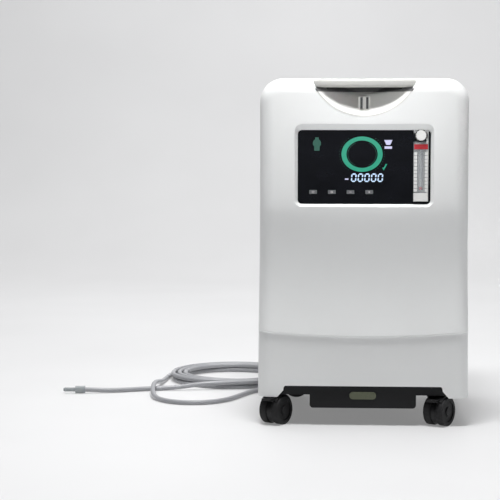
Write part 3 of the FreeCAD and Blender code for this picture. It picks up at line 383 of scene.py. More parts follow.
COIL_CENTRE = Vector((-0.258, 0.332, 0))
COIL_ENTRY = math.radians(186)
POINTS_PER_TURN = 16
TURNS_IN, TURNS_OUT = 2.75, 3.02
COIL_EDGE, COIL_SHRINK = 0.1375, 0.0405  # radius where the tube enters, and how much it loses
COIL_EYE, COIL_GROWTH = 0.097, 0.0375  # radius at the middle, and how much it gains on top
LOOSENESS = 0.0007
CLIMB_LEAD, CLIMB_TURNS = 0.3, 0.4  # the climb starts so much of a turn early, and takes so much

# Both routes are in mm.
OUTLET_ROUTE = [
    (-78, 179.5, 320), (-78, 214, 320), (-80, 248, 310), (-84, 272, 280), (-91, 284, 240),
    (-100, 288, 196), (-109, 288, 151), (-119, 284, 107), (-131, 272, 67), (-143, 246, 36),
    (-162, 216, 14), (-190, 186, 4.7), (-214, 150, 4.7), (-230, 110, 4.7), (-246, 68, 4.7),
    (-274, 34, 4.7), (-315, 20, 4.7), (-356, 32, 4.7), (-384, 64, 4.7), (-397, 102, 8),
    (-401, 142, 17), (-401, 184, 17.4), (-398, 224, 12), (-396, 260, 6.5), (-395, 294, 4.7),
]
LEAD_ROUTE = [
    (-309, 197, 12.8), (-342, 193, 7.5), (-380, 186, 4.7), (-420, 177, 4.7), (-458, 161, 4.7),
    (-496, 149, 5.3), (-534, 146, 7.2),
]


def coil_points():
    """Inwards on the floor, up at the middle, and outwards on top, clockwise from above."""
    points = []
    total = round((TURNS_IN + TURNS_OUT) * POINTS_PER_TURN)
    for k in range(1, total):
        turn = k / POINTS_PER_TURN
        angle = COIL_ENTRY - math.tau * turn
        if turn < TURNS_IN:
            radius = COIL_EDGE - COIL_SHRINK * (turn / TURNS_IN) ** 0.9
        else:
            radius = COIL_EYE + COIL_GROWTH * ((turn - TURNS_IN) / TURNS_OUT) ** 1.1
        radius += LOOSENESS * math.sin(3.1 * angle + 0.8)
        climb = min(max((turn - TURNS_IN + CLIMB_LEAD) / CLIMB_TURNS, 0), 1)
        climb = climb * climb * (3 - 2 * climb)
        height = FLOOR_LINE + (TOP_LINE - FLOOR_LINE) * climb
        place = Vector((radius * math.cos(angle), radius * math.sin(angle), height))
        points.append(COIL_CENTRE + place)
    return points


def oxygen_tube():
    """The whole tube as one soft curve: out of the back, round the coil, and off to its connector."""
    outlet = [Vector(point) * MM for point in OUTLET_ROUTE]
    lead = [Vector(point) * MM for point in LEAD_ROUTE]
    points = outlet + coil_points() + lead
    curve = bpy.data.curves.new("oxygen_line", "CURVE")
    curve.dimensions = "3D"
    spline = curve.splines.new("NURBS")
    spline.points.add(len(points) - 1)
    for target, point in zip(spline.points, points):
        target.co = (*point, 1)
    spline.order_u = 3
    spline.use_endpoint_u = True
    spline.resolution_u = 8
    curve.bevel_depth = TUBE / 2
    curve.bevel_resolution = 5
    curve.use_fill_caps = True
    curve.materials.append(tube_silicone)
    item = bpy.data.objects.new("oxygen_line", curve)
    scene.collection.objects.link(item)
    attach(item, "root")
    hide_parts("oxygen_tube", "tube_coil", "tube_lead")
    return item


line = oxygen_tube()

# ---------------------------------------------------------------- cover surfaces

FRONT_LOW, FRONT_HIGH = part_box("front_cover")
REAR_LOW, REAR_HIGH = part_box("rear_cover")
FRONT_Y = FRONT_LOW.y
REAR_Y = REAR_HIGH.y
TOP_Z = FRONT_HIGH.z
FOOT_Z = FRONT_LOW.z
FOOT_HALF = FRONT_HIGH.x
HEAD_HALF = FOOT_HALF - 4 * MM
HEAD_Z = 390 * MM
TOP_ROUND = 40 * MM
WALL = 3 * MM
LIP_Z = 158 * MM
SMILE = 9 * MM  # how far the lip's ends rise above its middle
PROUD = 0.02 * MM  # how far outside a face its cutting tool's rim starts

# The front's setback at each level, in mm: upright head, hollow waist, rounded lip, undercut foot.
WAIST = [(600, 0), (402, 0), (390, 0.12), (374, 1.0), (354, 4.1), (331, 8.4), (300, 12.5),
         (266, 14.6), (235, 14.3), (202, 11.6), (176, 8.0), (165, 6.1), (160.2, 5.3), (158.6, 5.15),
         (157.6, 5.6), (157.0, 6.6), (156.8, 7.8), (156.2, 8.6), (154, 8.9), (120, 11.0),
         (80, 13.2), (50, 14.5)]

# Levels of the skin's rows round the lip, in mm, close together where it turns.
LIP_LEVELS = (152, 154, 155.4, 156.2, 156.6, 156.8, 156.95, 157.2, 157.6, 158.0, 158.6, 159.4,
              160.4, 162, 165)

SEAM_LIP = [(0.8 * MM, 0.0), (0.35 * MM, 0.25 * MM), (0.08 * MM, 0.7 * MM), (0.0, 1.4 * MM)]
DEPTH_ROWS = 8  # of quads along the flat of a side
ROUND_ROWS = 9  # of quads round the edge from a side to the face
CORNER_STEPS = 10  # of quads round each top corner
COLUMNS = 72  # of quads across the top and the face


def waist_setback(level):
    """Setback in metres at a level in metres: a cubic between rows that never overshoots them."""
    rows = [(z * MM, s * MM) for z, s in WAIST]
    if level >= rows[0][0]:
        return 0.0
    for k in range(len(rows) - 1):
        (z1, s1), (z0, s0) = rows[k], rows[k + 1]
        if level >= z0:
            before = rows[k - 1] if k else rows[k]
            after = rows[k + 2] if k + 2 < len(rows) else rows[k + 1]
            slope1 = (before[1] - s0) / max(before[0] - z0, 1e-9)
            slope0 = (s1 - after[1]) / max(z1 - after[0], 1e-9)
            steep = (s1 - s0) / (z1 - z0)
            limit = 3 * abs(steep)
            slope0 = max(min(slope0, limit), -limit) if slope0 * steep > 0 else 0.0
            slope1 = max(min(slope1, limit), -limit) if slope1 * steep > 0 else 0.0
            gap = z1 - z0
            t = (level - z0) / gap
            return ((2 * t**3 - 3 * t**2 + 1) * s0 + (t**3 - 2 * t**2 + t) * gap * slope0
                    + (3 * t**2 - 2 * t**3) * s1 + (t**3 - t**2) * gap * slope1)
    return rows[-1][1]


def smile(x, level):
    """How far a point of the front is lifted, most at the lip and nothing at the head and foot."""
    room = (HEAD_Z - LIP_Z) if level > LIP_Z else (LIP_Z - FOOT_Z)
    share = 1 - abs(level - LIP_Z) / room
    return SMILE * (x / FOOT_HALF) ** 2 * max(share, 0)


def half_width(level):
    """Half the body's width at a level."""
    share = max((HEAD_Z - level) / (HEAD_Z - FOOT_Z), 0)
    return HEAD_HALF + (FOOT_HALF - HEAD_HALF) * share


def side_levels():
    """Levels of the rows up a side, from the foot to where the top corner starts."""
    first, last = LIP_LEVELS[0], LIP_LEVELS[-1]
    levels = [FOOT_Z + (first * MM - FOOT_Z) * k / 10 for k in range(10)]
    levels += [z * MM for z in LIP_LEVELS]
    levels += [(last + (TOP_Z / MM - 40 - last) * k / 60) * MM for k in range(1, 61)]
    return levels


def skin_insets(reach, edge_round):
    """(inset, depth) of each row of a skin, from its softened seam to its flat face."""
    insets = SEAM_LIP + [(0.0, reach * k / DEPTH_ROWS) for k in range(1, DEPTH_ROWS + 1)]
    for k in range(1, ROUND_ROWS + 1):
        angle = math.pi / 2 * k / ROUND_ROWS
        insets.append((edge_round * (1 - math.cos(angle)), reach + edge_round * math.sin(angle)))
    return insets


def skin_outline(inset, sides):
    """A skin's outline as (x, level): up one side, over the top and down the other."""
    corner = max(TOP_ROUND - inset, 1 * MM)
    half_top = HEAD_HALF - TOP_ROUND
    left = [(-(half_width(level) - inset), level) for level in sides]
    for k in range(1, CORNER_STEPS + 1):
        angle = math.pi / 2 * k / CORNER_STEPS
        left.append((-half_top - corner * math.cos(angle),
                     TOP_Z - TOP_ROUND + corner * math.sin(angle)))
    top = [(-half_top + 2 * half_top * k / COLUMNS, TOP_Z - inset) for k in range(1, COLUMNS)]
    right = [(-x, z) for x, z in reversed(left)]
    return left + top + right


def shell_surface(face_y, seam_y, edge_round, shaped_front):
    """One cover's outer skin as rows of quads, from the seam round the edges to its flat face."""
    inwards = 1 if seam_y > face_y else -1
    reach = abs(seam_y - face_y) - edge_round
    sides = side_levels()
    insets = skin_insets(reach, edge_round)
    bm = bmesh.new()

    def vertex(x, level, depth):
        y = seam_y - inwards * depth
        if not shaped_front:
            return bm.verts.new((x, y, level))
        y += waist_setback(level) * min(depth / reach, 1)
        return bm.verts.new((x, y, level + smile(x, level)))

    rows = []
    for inset, depth in insets:
        rows.append([vertex(x, level, depth) for x, level in skin_outline(inset, sides)])
    for one, other in zip(rows, rows[1:]):
        for k in range(len(one) - 1):
            bm.faces.new((one[k], one[k + 1], other[k + 1], other[k]))

    # the face: one row of quads between each left and right vertex at the same level
    inset, depth = insets[-1]
    inner = rows[-1]
    side_count = len(sides) + CORNER_STEPS
    levels = [level for _, level in skin_outline(inset, sides)[:side_count - 1]]
    grid = []
    for left, right, level in zip(inner, reversed(inner), levels):
        across = right.co.x - left.co.x
        between = [vertex(left.co.x + across * c / COLUMNS, level, depth) for c in range(1, COLUMNS)]
        grid.append([left] + between + [right])
    grid.append(inner[side_count - 1:side_count + COLUMNS])
    for one, other in zip(grid, grid[1:]):
        for c in range(COLUMNS):
            bm.faces.new((one[c], one[c + 1], other[c + 1], other[c]))

    # normals outwards: the face's own normal points away from the seam
    bmesh.ops.recalc_face_normals(bm, faces=bm.faces[:])
    probe = max(bm.faces, key=lambda face: -inwards * face.calc_center_median().y)
    if probe.normal.y * inwards > 0:
        bmesh.ops.reverse_faces(bm, faces=bm.faces[:])
    return bm


def thickened(bm):
    """A shell of the wall's thickness under a skin."""
    mesh = bpy.data.meshes.new("skin")
    bm.to_mesh(mesh)
    bm.free()
    item = bpy.data.objects.new("skin", mesh)
    scene.collection.objects.link(item)
    wall = item.modifiers.new("wall", "SOLIDIFY")
    wall.thickness = WALL
    wall.offset = -1
    wall.use_even_offset = True
    return item


ARCH_TOP, ARCH_CORNER = 70 * MM, 8 * MM
ARCH_HALF_TOP, ARCH_HALF_FOOT = 138 * MM, 149.5 * MM


def arch_tool(face_y, inwards):
    """The low arch between the feet: leaning sides and rounded upper corners."""
    lean = math.atan2(ARCH_HALF_FOOT - ARCH_HALF_TOP, ARCH_TOP - FOOT_Z)
    low = FOOT_Z - 4 * MM
    stretch = (ARCH_TOP - low) / (ARCH_TOP - FOOT_Z)
    half_low = ARCH_HALF_TOP + (ARCH_HALF_FOOT - ARCH_HALF_TOP) * stretch
    steps = 8
    half = [(half_low, low)]
    for k in range(steps + 1):
        share = k / steps
        x = ARCH_HALF_TOP - ARCH_CORNER * 1.05
        x += ARCH_CORNER * math.cos((math.pi / 2 - lean) * share)
        half.append((x, ARCH_TOP - ARCH_CORNER + ARCH_CORNER * math.sin(math.pi / 2 * share)))
    outline = half + [(-x, z) for x, z in reversed(half)]
    ends = [face_y + inwards * along for along in (-2 * MM, 60 * MM)]
    return solid(lofted([[(x, y, z) for x, z in outline] for y in ends]))


GLASS_LOW, GLASS_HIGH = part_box("display_glass")
GLASS_MID, GLASS_SIZE = middle("display_glass")
GLASS_Y = GLASS_LOW.y
BEVEL_SIDE, BEVEL_TOP = 4.5 * MM, 9 * MM


def display_tool():
    """The display's sunk seat: a rounded rim, a bevel down to the glass, and its bed."""
    wide, high = GLASS_SIZE.x, GLASS_SIZE.z
    mouth_z = GLASS_MID.z + (BEVEL_TOP - BEVEL_SIDE) / 2
    mouth_wide, mouth_high = wide + 2 * BEVEL_SIDE, high + BEVEL_SIDE + BEVEL_TOP
    rim, gap = 1.3 * MM, 0.25 * MM

    def mouth(grown, radius, y):
        return rounded_loop(0, mouth_z, mouth_wide + 2 * grown, mouth_high + 2 * grown, radius, y)

    loops = [mouth(rim, 12 * MM, FRONT_Y - 2 * MM)]
    for grown, sunk in rim_steps(rim, 5):
        loops.append(mouth(grown, 11 * MM + grown, FRONT_Y - PROUD + sunk))
    for y in (GLASS_Y, GLASS_HIGH.y + gap):
        loops.append(rounded_loop(0, GLASS_MID.z, wide + 2 * gap, high + 2 * gap, 7.2 * MM, y))
    for y in (GLASS_HIGH.y + 2 * gap, GLASS_HIGH.y + 9 * MM):
        loops.append(rounded_loop(0, GLASS_MID.z, wide - 14 * MM, high - 10 * MM, 4 * MM, y))
    return solid(lofted(loops))


SCOOP_RADIUS, SCOOP_REAR, SCOOP_DEPTH = 97.7 * MM, 58.2 * MM, 62.2 * MM
SCOOP_Z = 632 * MM  # the middle of the scoop's arc
SCOOP_STEPS = 64
OPEN_ROOF = 612 * MM  # above the cover, so the strip is open upwards
BAR_LOW, BAR_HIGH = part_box("handle_bar")
SCOOP_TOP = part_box("handle_scoop")[1].z + 0.2 * MM


def scoop_loop(radius, y, roof):
    """An arc of the scoop's bowl, closed by its roof."""
    reach = math.acos((SCOOP_Z - roof) / radius)
    arc = [-reach + 2 * reach * k / SCOOP_STEPS for k in range(SCOOP_STEPS + 1)]
    return [(radius * math.sin(a), y, SCOOP_Z - radius * math.cos(a)) for a in arc]


def scoop_tools():
    """The bowl under the roof, and the open strip that the bar bridges, with a rounded mouth."""
    slope = (SCOOP_RADIUS - SCOOP_REAR) / SCOOP_DEPTH
    bowl = solid(lofted([scoop_loop(SCOOP_RADIUS - slope * d, FRONT_Y + d, SCOOP_TOP)
                         for d in (10 * MM, SCOOP_DEPTH)]))
    rim = 1.6 * MM
    loops = [scoop_loop(SCOOP_RADIUS + rim + 0.3 * MM, FRONT_Y - 3 * MM, OPEN_ROOF)]
    for grown, sunk in rim_steps(rim, 5):
        radius = SCOOP_RADIUS - slope * sunk + grown
        loops.append(scoop_loop(radius, FRONT_Y - PROUD + sunk, OPEN_ROOF))
    last = BAR_HIGH.y - FRONT_Y + 0.2 * MM
    loops.append(scoop_loop(SCOOP_RADIUS - slope * last, FRONT_Y + last, OPEN_ROOF))
    return bowl, solid(lofted(loops))


def front_shell():
    """The front cover: hollow waist, smiling lip, display seat, scoop mouth and low arch."""
    base = thickened(shell_surface(FRONT_Y, FRONT_HIGH.y, 24 * MM, True))
    wide, high = GLASS_SIZE.x + 20 * MM, GLASS_SIZE.z + 20 * MM
    seat = solid(lofted([rounded_loop(0, GLASS_MID.z, wide, high, 14 * MM, y)
                         for y in (FRONT_Y + 1.6 * MM, GLASS_HIGH.y + 3 * MM)]))
    bowl, strip = scoop_tools()
    mesh = carved(base, ("UNION", seat), ("DIFFERENCE", display_tool()), ("DIFFERENCE", bowl),
                  ("DIFFERENCE", strip), ("DIFFERENCE", arch_tool(FRONT_Y, 1)))
    item = piece("front_shell", mesh, shell_white, smooth_angle=32)
    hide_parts("front_cover")


def window_tool(node, gap, radius, hinge_room=0.0):
    """An opening in the rear cover round a CAD node, with room for a hinge on its low X side."""
    centre, extent = middle(node)
    centre.x -= hinge_room / 2
    wide, high = extent.x + 2 * gap + hinge_room, extent.z + 2 * gap
    rim = 0.8 * MM

    def opening(grown, y):
        return rounded_loop(centre.x, centre.z, wide + 2 * grown, high + 2 * grown, radius + grown, y)

    loops = [opening(rim, REAR_Y + 2 * MM)]
    for grown, sunk in rim_steps(rim, 3):
        loops.append(opening(grown, REAR_Y + PROUD - sunk))
    loops.append(opening(0.0, REAR_Y - 12 * MM))
    return solid(lofted(loops))


def rear_shell():
    """The rear cover: plain, with its windows and its low arch."""
    base = thickened(shell_surface(REAR_Y, REAR_LOW.y, 16 * MM, False))
    tools = [window_tool("rear_panel", 0.3 * MM, 6.3 * MM),
             window_tool("exhaust_grille", 0.4 * MM, 8 * MM),
             window_tool("filter_door", 0.6 * MM, 3 * MM, 1.7 * MM),
             arch_tool(REAR_Y, -1)]
    mesh = carved(base, *[("DIFFERENCE", tool) for tool in tools])
    item = piece("rear_shell", mesh, shell_white, smooth_angle=32)
    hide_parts("rear_cover")


front_shell()
rear_shell()

# ---------------------------------------------------------------- carried-over CAD nodes

FINISH = {
    "shell_white": shell_white, "insert_grey": insert_grey, "black_plastic": black_plastic,
    "panel_black": panel_black, "screen_light": glow_icon, "circuit_green": circuit_green,
    "key_grey": key_grey, "clear_acrylic": clear_acrylic, "signal_white": signal_white,
    "signal_red": signal_red, "badge_metal": badge_metal, "caster_black": caster_black,
    "wheel_rubber": rubber_black, "vent_grey": vent_grey, "foam_grey": foam_grey,
    "chassis_zinc": zinc, "cast_aluminium": cast_metal, "tank_blue_grey": tank_paint,
    "copper": copper, "steel": steel, "tube_silicone": tube_silicone, "fitting_green": fitting_green,
}


WELD = 0.01 * MM
SHARP = math.radians(28)  # edges of CAD nodes above this angle stay sharp


def finish_node(name, slot):
    """The record's finish on a CAD node, shaded smooth between its sharp edges."""
    node = frame["nodes"][name]
    node.data.materials.clear()
    node.data.materials.append(FINISH[slot])
    node.data.polygons.foreach_set("use_smooth", [True] * len(node.data.polygons))
    weld = node.modifiers.new("weld", "WELD")
    weld.merge_threshold = WELD
    split = node.modifiers.new("sharp", "EDGE_SPLIT")
    split.split_angle = SHARP
    split.use_edge_sharp = False


LINER = (0.78, 0.78, 0.755)
LINER_PAINTED_SHADE = (0.13, 0.13, 0.13)  # painted shade: the liner behind the bar, painted dark to stand for the shadow under the bar
RIB_DARK = (0.035, 0.036, 0.038)


def two_tone(name, axis, level, before, after):
    """Satin plastic of one colour up to a level along an axis, and of another past it."""
    recipe = Recipe(name, 0.46)
    split = recipe.add("ShaderNodeSeparateXYZ")
    recipe.link(recipe.place, split, "Vector")
    share = recipe.spread(split.outputs[axis], 0, 1, level - 0.3 * MM, level + 0.3 * MM)
    recipe.colours(share, (0.0, before), (1.0, after))
    recipe.rough(recipe.noise(26, 5), 0.42, 0.5)
    recipe.bump(recipe.noise(2200, 2), GRAIN_RELIEF)
    return recipe.material


for row in frame["record"]["subparts"]:
    finish_node(row["node"], row["material_slot"])
# the scoop's liner has its own light colour up to 7 mm below the bar's lower edge, and painted shade
# from there up, for the dark gap under the bar
liner_painted_shade = two_tone("scoop_liner_painted_shade", "Z", BAR_LOW.z - 7 * MM, LINER, LINER_PAINTED_SHADE)
ribs = two_tone("clip_ribs", "Y", FRONT_Y + 19.2 * MM, RIB_DARK, LINER)
frame["nodes"]["handle_scoop"].data.materials[0] = liner_painted_shade
frame["nodes"]["scoop_clip"].data.materials[0] = ribs
frame["nodes"]["tube_connector"].data.materials[0] = connector_clear
for name in ("mains_inlet", "switch_frame", "power_rocker", "breaker_body"):
    frame["nodes"][name].data.materials[0] = device_black

# ---------------------------------------------------------------- display picture

INK = 0.12 * MM  # how proud the display's lit shapes stand of the glass
SCREEN_Y = GLASS_Y - 0.04 * MM
PRINT_GAP = 0.02 * MM  # how far a printed mark stands off its face
FLAT = 20  # the smooth angle of printed and lit shapes, in degrees


def flat_shape(bm, outline, y=SCREEN_Y, thick=INK):
    """A thin plate facing the front, from its outline as (x, z) points in metres."""
    front = [bm.verts.new((x, y - thick, z)) for x, z in outline]
    back = [bm.verts.new((x, y, z)) for x, z in outline]
    bm.faces.new(front)
    bm.faces.new(back[::-1])
    count = len(outline)
    for k in range(count):
        bm.faces.new((front[k], back[k], back[(k + 1) % count], front[(k + 1) % count]))


def ring_shape(bm, x, z, outer, inner, start=0.0, stop=360.0, steps=96, y=SCREEN_Y, thick=INK):
    """A flat ring or part of one; outer and inner are (half width, half height)."""
    rows = []
    for k in range(steps + 1):
        angle = math.radians(start + (stop - start) * k / steps)
        row = []
        for wide, high in (outer, inner):
            for depth in (y - thick, y):
                place = (x + wide * math.cos(angle), depth, z + high * math.sin(angle))
                row.append(bm.verts.new(place))
        rows.append(row)
    whole = abs(stop - start) >= 360
    if whole:
        for vert in rows.pop():
            bm.verts.remove(vert)
        rows.append(rows[0])
    for one, other in zip(rows, rows[1:]):
        for a, b in ((0, 2), (2, 3), (3, 1), (1, 0)):
            bm.faces.new((one[a], other[a], other[b], one[b]))
    if not whole:
        for row in (rows[0], rows[-1]):
            bm.faces.new((row[0], row[2], row[3], row[1]))


def bar_shape(bm, x, z, wide, high, **place):
    """A flat bar about a middle."""
    flat_shape(bm, [(x - wide / 2, z - high / 2), (x + wide / 2, z - high / 2),
                    (x + wide / 2, z + high / 2), (x - wide / 2, z + high / 2)], **place)


def screen_point(x, z):
    """A place on the glass, in mm from its middle."""
    return GLASS_MID.x + x * MM, GLASS_MID.z + z * MM


def icon(name, place, material, *outlines):
    """A lit picture on the glass; its outlines are in mm about its place."""
    x, z = screen_point(*place)
    bm = bmesh.new()
    for outline in outlines:
        flat_shape(bm, [(x + px * MM, z + pz * MM) for px, pz in outline])
    piece(name, bm, material, smooth_angle=FLAT)


RING_PLACE = (-3.5, 22)  # mm from the glass's middle
RING_OUTER, RING_INNER = (35 * MM, 30 * MM), (26.6 * MM, 23.4 * MM)  # half width, half height
LINE_OUTER, LINE_INNER = (24.4 * MM, 21.4 * MM), (23.9 * MM, 20.9 * MM)
LINE_REACH = 62  # degrees above and below the ring's sides
TICK_WIDE, TICK_HIGH = 38.2 * MM, 33.6 * MM  # the oval on which the ticks stand
TICK_PITCH = 7.5  # degrees


def gauge_ring():
    """The green ring: wide at its sides and thin at top and bottom, with a bright inner line."""
    x, z = screen_point(*RING_PLACE)
    bm = bmesh.new()
    ring_shape(bm, x, z, RING_OUTER, RING_INNER)
    piece("gauge_ring", bm, glow_ring, smooth_angle=FLAT)
    bm = bmesh.new()
    for side in (0, 180):
        ring_shape(bm, x, z, LINE_OUTER, LINE_INNER, side - LINE_REACH, side + LINE_REACH, 48)
    for k in range(-7, 8):
        for side in (0, 180):
            angle = math.radians(side + TICK_PITCH * k)
            bar_shape(bm, x + TICK_WIDE * math.cos(angle), z + TICK_HIGH * math.sin(angle),
                      1.4 * MM, 0.6 * MM)
    piece("gauge_ticks", bm, glow_dim, smooth_angle=FLAT)


# Each segment's place in widths and half heights of the digit, and whether it lies level.
SEGMENTS = {
    "a": (0, 1, True), "b": (0.5, 0.5, False), "c": (0.5, -0.5, False), "d": (0, -1, True),
    "e": (-0.5, -0.5, False), "f": (-0.5, 0.5, False), "g": (0, 0, True),
}
NOUGHT = "abcdef"
DIGIT_WIDE, DIGIT_HIGH, STROKE = 7.0 * MM, 12.4 * MM, 2.3 * MM
DIGIT_LEAN = 0.08


def digit(bm, x, z, lit):
    """One seven-segment digit, leaning a little."""
    tip = STROKE / 2
    for name in lit:
        across, up, level = SEGMENTS[name]
        middle_x, middle_z = across * DIGIT_WIDE, up * DIGIT_HIGH / 2
        run = ((DIGIT_WIDE if level else DIGIT_HIGH / 2) - STROKE * 0.35) / 2
        shape = [(-run, 0), (-run + tip, -tip), (run - tip, -tip),
                 (run, 0), (run - tip, tip), (-run + tip, tip)]
        if not level:
            shape = [(-pz, px) for px, pz in shape]
        outline = []
        for px, pz in shape:
            height = middle_z + pz
            outline.append((x + middle_x + px + DIGIT_LEAN * height, z + height))
        flat_shape(bm, outline)


def readout():
    """The hour counter: five noughts and a short dash before them."""
    bm = bmesh.new()
    for k in range(5):
        x, z = screen_point(-17.4 + 11.3 * k, -18)
        digit(bm, x, z, NOUGHT)
    piece("counter_digits", bm, glow_digit, smooth_angle=FLAT)
    bm = bmesh.new()
    x, z = screen_point(-29.5, -20.5)
    bar_shape(bm, x, z, 6 * MM, 2.2 * MM)
    piece("counter_dash", bm, glow_icon, smooth_angle=FLAT)


BOTTLE_HALF = [(0, 11.5), (3.0, 11.5), (3.0, 8.4), (5.4, 6.2), (6.8, 3.2), (6.8, -1.0), (4.6, -4.0),
               (4.6, -10.0), (4.0, -11.2), (0, -11.2)]
BOTTLE = BOTTLE_HALF + [(-px, pz) for px, pz in reversed(BOTTLE_HALF[1:-1])]
FUNNEL = [(-7, 7.6), (-3.4, -0.6), (3.4, -0.6), (7, 7.6)]
FUNNEL_BASE = [(-6.3, -7.3), (6.3, -7.3), (6.3, -3.1), (-6.3, -3.1)]
TICK = [(-4.2, -1.0), (-1.4, -5.6), (4.4, 5.2), (1.8, 5.6), (-1.4, -0.8)]


def screen_icons():
    """A bottle at the left, a filter mark at the right and a small tick below the ring."""
    icon("bottle_icon", (-80.5, 39), glow_dim, BOTTLE)
    icon("filter_icon", (41, 38.5), glow_icon, FUNNEL, FUNNEL_BASE)
    icon("tick_icon", (35, 0), glow_ring, TICK)


def key_marks():
    """A plain mark on each key: power, three bars, minus and plus."""
    for name in ("key_power", "key_mode", "key_less", "key_more"):
        low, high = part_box(name)
        x, z = (low.x + high.x) / 2, (low.z + high.z) / 2
        place = {"y": low.y - PRINT_GAP, "thick": 0.1 * MM}
        bm = bmesh.new()
        if name == "key_power":
            outer, inner = (2.0 * MM, 2.0 * MM), (1.5 * MM, 1.5 * MM)
            ring_shape(bm, x, z, outer, inner, 118, 422, 28, **place)
            bar_shape(bm, x, z + 1.2 * MM, 0.5 * MM, 2.0 * MM, **place)
        elif name == "key_mode":
            for k in (-1, 0, 1):
                bar_shape(bm, x, z + 1.4 * k * MM, 4.2 * MM, 0.6 * MM, **place)
        else:
            bar_shape(bm, x, z, 3.8 * MM, 0.7 * MM, **place)
            if name == "key_more":
                bar_shape(bm, x, z + 1.15 * MM, 0.7 * MM, 1.5 * MM, **place)
                bar_shape(bm, x, z - 1.15 * MM, 0.7 * MM, 1.5 * MM, **place)
        piece(name + "_mark", bm, signal_white, body=name, smooth_angle=FLAT)


gauge_ring()
readout()
screen_icons()
key_marks()

# ---------------------------------------------------------------- flow meter

METER_LOW, METER_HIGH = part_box("flowmeter_tube")
METER_X = (METER_LOW.x + METER_HIGH.x) / 2
METER_WIDE = METER_HIGH.x - METER_LOW.x
SCALE_FOOT = METER_LOW.z + 4.6 * MM
SCALE_PITCH = 6.2 * MM
SCALE_MARKS = 11


def scale_column(name, material, heights, offset, wide, high):
    """Printed marks on both sides of the meter's face, at these heights."""
    bm = bmesh.new()
    for z in heights:
        for side in (-1, 1):
            bar_shape(bm, METER_X + side * offset, z, wide, high, y=METER_LOW.y - PRINT_GAP)
    piece(name, bm, material, smooth_angle=FLAT)


def meter_details():
    """The scale's printed columns, the red limit band, the pale back and the tube's own wall."""
    marks = [SCALE_FOOT + SCALE_PITCH * k for k in range(SCALE_MARKS)]
    ticks = [SCALE_FOOT + SCALE_PITCH * (k + 0.5) for k in range(SCALE_MARKS - 1)]
    scale_column("meter_scale", signal_white, marks, 9.3 * MM, 5.6 * MM, 5.0 * MM)
    scale_column("meter_ticks", key_grey, ticks, 5.3 * MM, 2.0 * MM, 0.5 * MM)
    bm = bmesh.new()
    bar_shape(bm, METER_X, METER_HIGH.z - 8.2 * MM, METER_WIDE - 1.6 * MM, 8.6 * MM,
              y=METER_LOW.y - PRINT_GAP)
    piece("meter_band", bm, signal_red, smooth_angle=FLAT)
    half = METER_WIDE / 2 - 0.6 * MM
    bm = block((METER_X - half, METER_HIGH.y + 0.05 * MM, METER_LOW.z + 0.5 * MM),
               (METER_X + half, METER_HIGH.y + 0.8 * MM, METER_HIGH.z - 0.5 * MM), 0.2 * MM)
    piece("meter_back", bm, signal_white)
    half = 1.3 * MM
    bm = block((METER_X - half, METER_HIGH.y - 4.4 * MM, METER_LOW.z + 4 * MM),
               (METER_X + half, METER_HIGH.y - 3.9 * MM, METER_HIGH.z - 14 * MM), 0.1 * MM)
    piece("meter_sight_line", bm, signal_white)


meter_details()

# ---------------------------------------------------------------- light and floor

FLOOR_FRONT, FLOOR_HALF = -14.0, 14.0
BEND_START, BEND_RADIUS, BEND_STEPS = 2.2, 1.6, 12  # the floor curves up into the backdrop
BACKDROP_TOP = 6.0
FLOOR_GLOW = 0.21
ALL_ROUND = 180

# name, place, target, size in metres, power in watts, beam in degrees
LIGHTS = [
    # grazes the front from above, so that the waist is darker than the slope under it
    ("key", (-0.1, -0.59, 2.1), (-0.05, -0.4, 0), 0.5, 41, ALL_ROUND),
    # a narrow beam on the head
    ("head", (-0.25, -2.6, 1.15), (0, -0.19, 0.60), 0.3, 0.11, 9),
    # softens the right side
    ("side", (2.4, -0.9, 1.6), (0, 0, 0.3), 1.6, 9, ALL_ROUND),
    # lights the top, the rear and the floor behind
    ("top", (-0.5, 1.2, 3.0), (-0.4, 0.8, 0.0), 2.6, 50, ALL_ROUND),
    ("backdrop", (0.0, 1.6, 2.6), (0, 3.6, 0.9), 2.0, 34, ALL_ROUND),
]

SKY_COLOUR = (0.93, 0.95, 1.0, 1)
SKY_RANGE = (0.0, 0.22, 0.42, 0.05)  # strength 0.42 at the horizon, 0.05 from a slope of 0.22 up


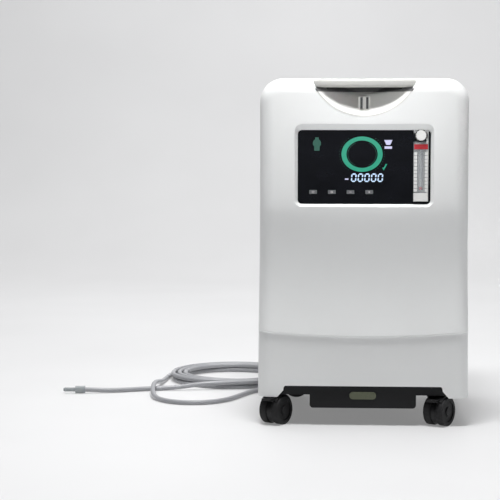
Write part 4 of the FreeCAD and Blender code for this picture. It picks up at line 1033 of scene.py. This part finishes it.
def area_light(name, place, target, size, power, spread):
    """A soft square light that faces its target, its beam so many degrees wide."""
    data = bpy.data.lights.new(name, "AREA")
    data.size = size
    data.energy = power
    data.spread = math.radians(spread)
    item = bpy.data.objects.new(name, data)
    item.location = place
    item.rotation_euler = (Vector(place) - Vector(target)).to_track_quat("Z", "Y").to_euler()
    scene.collection.objects.link(item)


def studio_floor():
    """A pale floor that glows a little, like a light table, and curves up behind."""
    profile = [(FLOOR_FRONT, 0.0), (BEND_START, 0.0)]
    for k in range(1, BEND_STEPS + 1):
        angle = math.pi / 2 * k / BEND_STEPS
        profile.append((BEND_START + BEND_RADIUS * math.sin(angle),
                        BEND_RADIUS * (1 - math.cos(angle))))
    profile.append((BEND_START + BEND_RADIUS, BACKDROP_TOP))
    bm = bmesh.new()
    rows = [[bm.verts.new((x, y, z)) for x in (-FLOOR_HALF, FLOOR_HALF)] for y, z in profile]
    for one, other in zip(rows, rows[1:]):
        bm.faces.new((one[0], one[1], other[1], other[0]))
    recipe = Recipe("studio_floor", 0.6)
    recipe.colours(recipe.noise(2, 2), (0.3, (0.51, 0.51, 0.515)), (0.7, (0.54, 0.54, 0.545)))
    recipe.shader.inputs["Emission Color"].default_value = (1, 1, 1, 1)
    recipe.shader.inputs["Emission Strength"].default_value = FLOOR_GLOW
    floor = piece("studio_floor", bm, recipe.material, body=None)


def studio_sky():
    """A faint glow all round, strongest at the horizon and nearly dark overhead."""
    world = bpy.data.worlds.new("studio")
    world.use_nodes = True
    tree = world.node_tree
    background = tree.nodes["Background"]
    background.inputs["Color"].default_value = SKY_COLOUR
    direction = tree.nodes.new("ShaderNodeTexCoord")
    split = tree.nodes.new("ShaderNodeSeparateXYZ")
    glow = tree.nodes.new("ShaderNodeMapRange")
    for socket, value in zip(RANGE_SOCKETS, SKY_RANGE):
        glow.inputs[socket].default_value = value
    tree.links.new(direction.outputs["Generated"], split.inputs["Vector"])
    tree.links.new(split.outputs["Z"], glow.inputs["Value"])
    tree.links.new(glow.outputs["Result"], background.inputs["Strength"])
    scene.world = world


studio_floor()
for light in LIGHTS:
    area_light(*light)
studio_sky()
scene.view_settings.view_transform = "Standard"

bpy.context.view_layer.update()
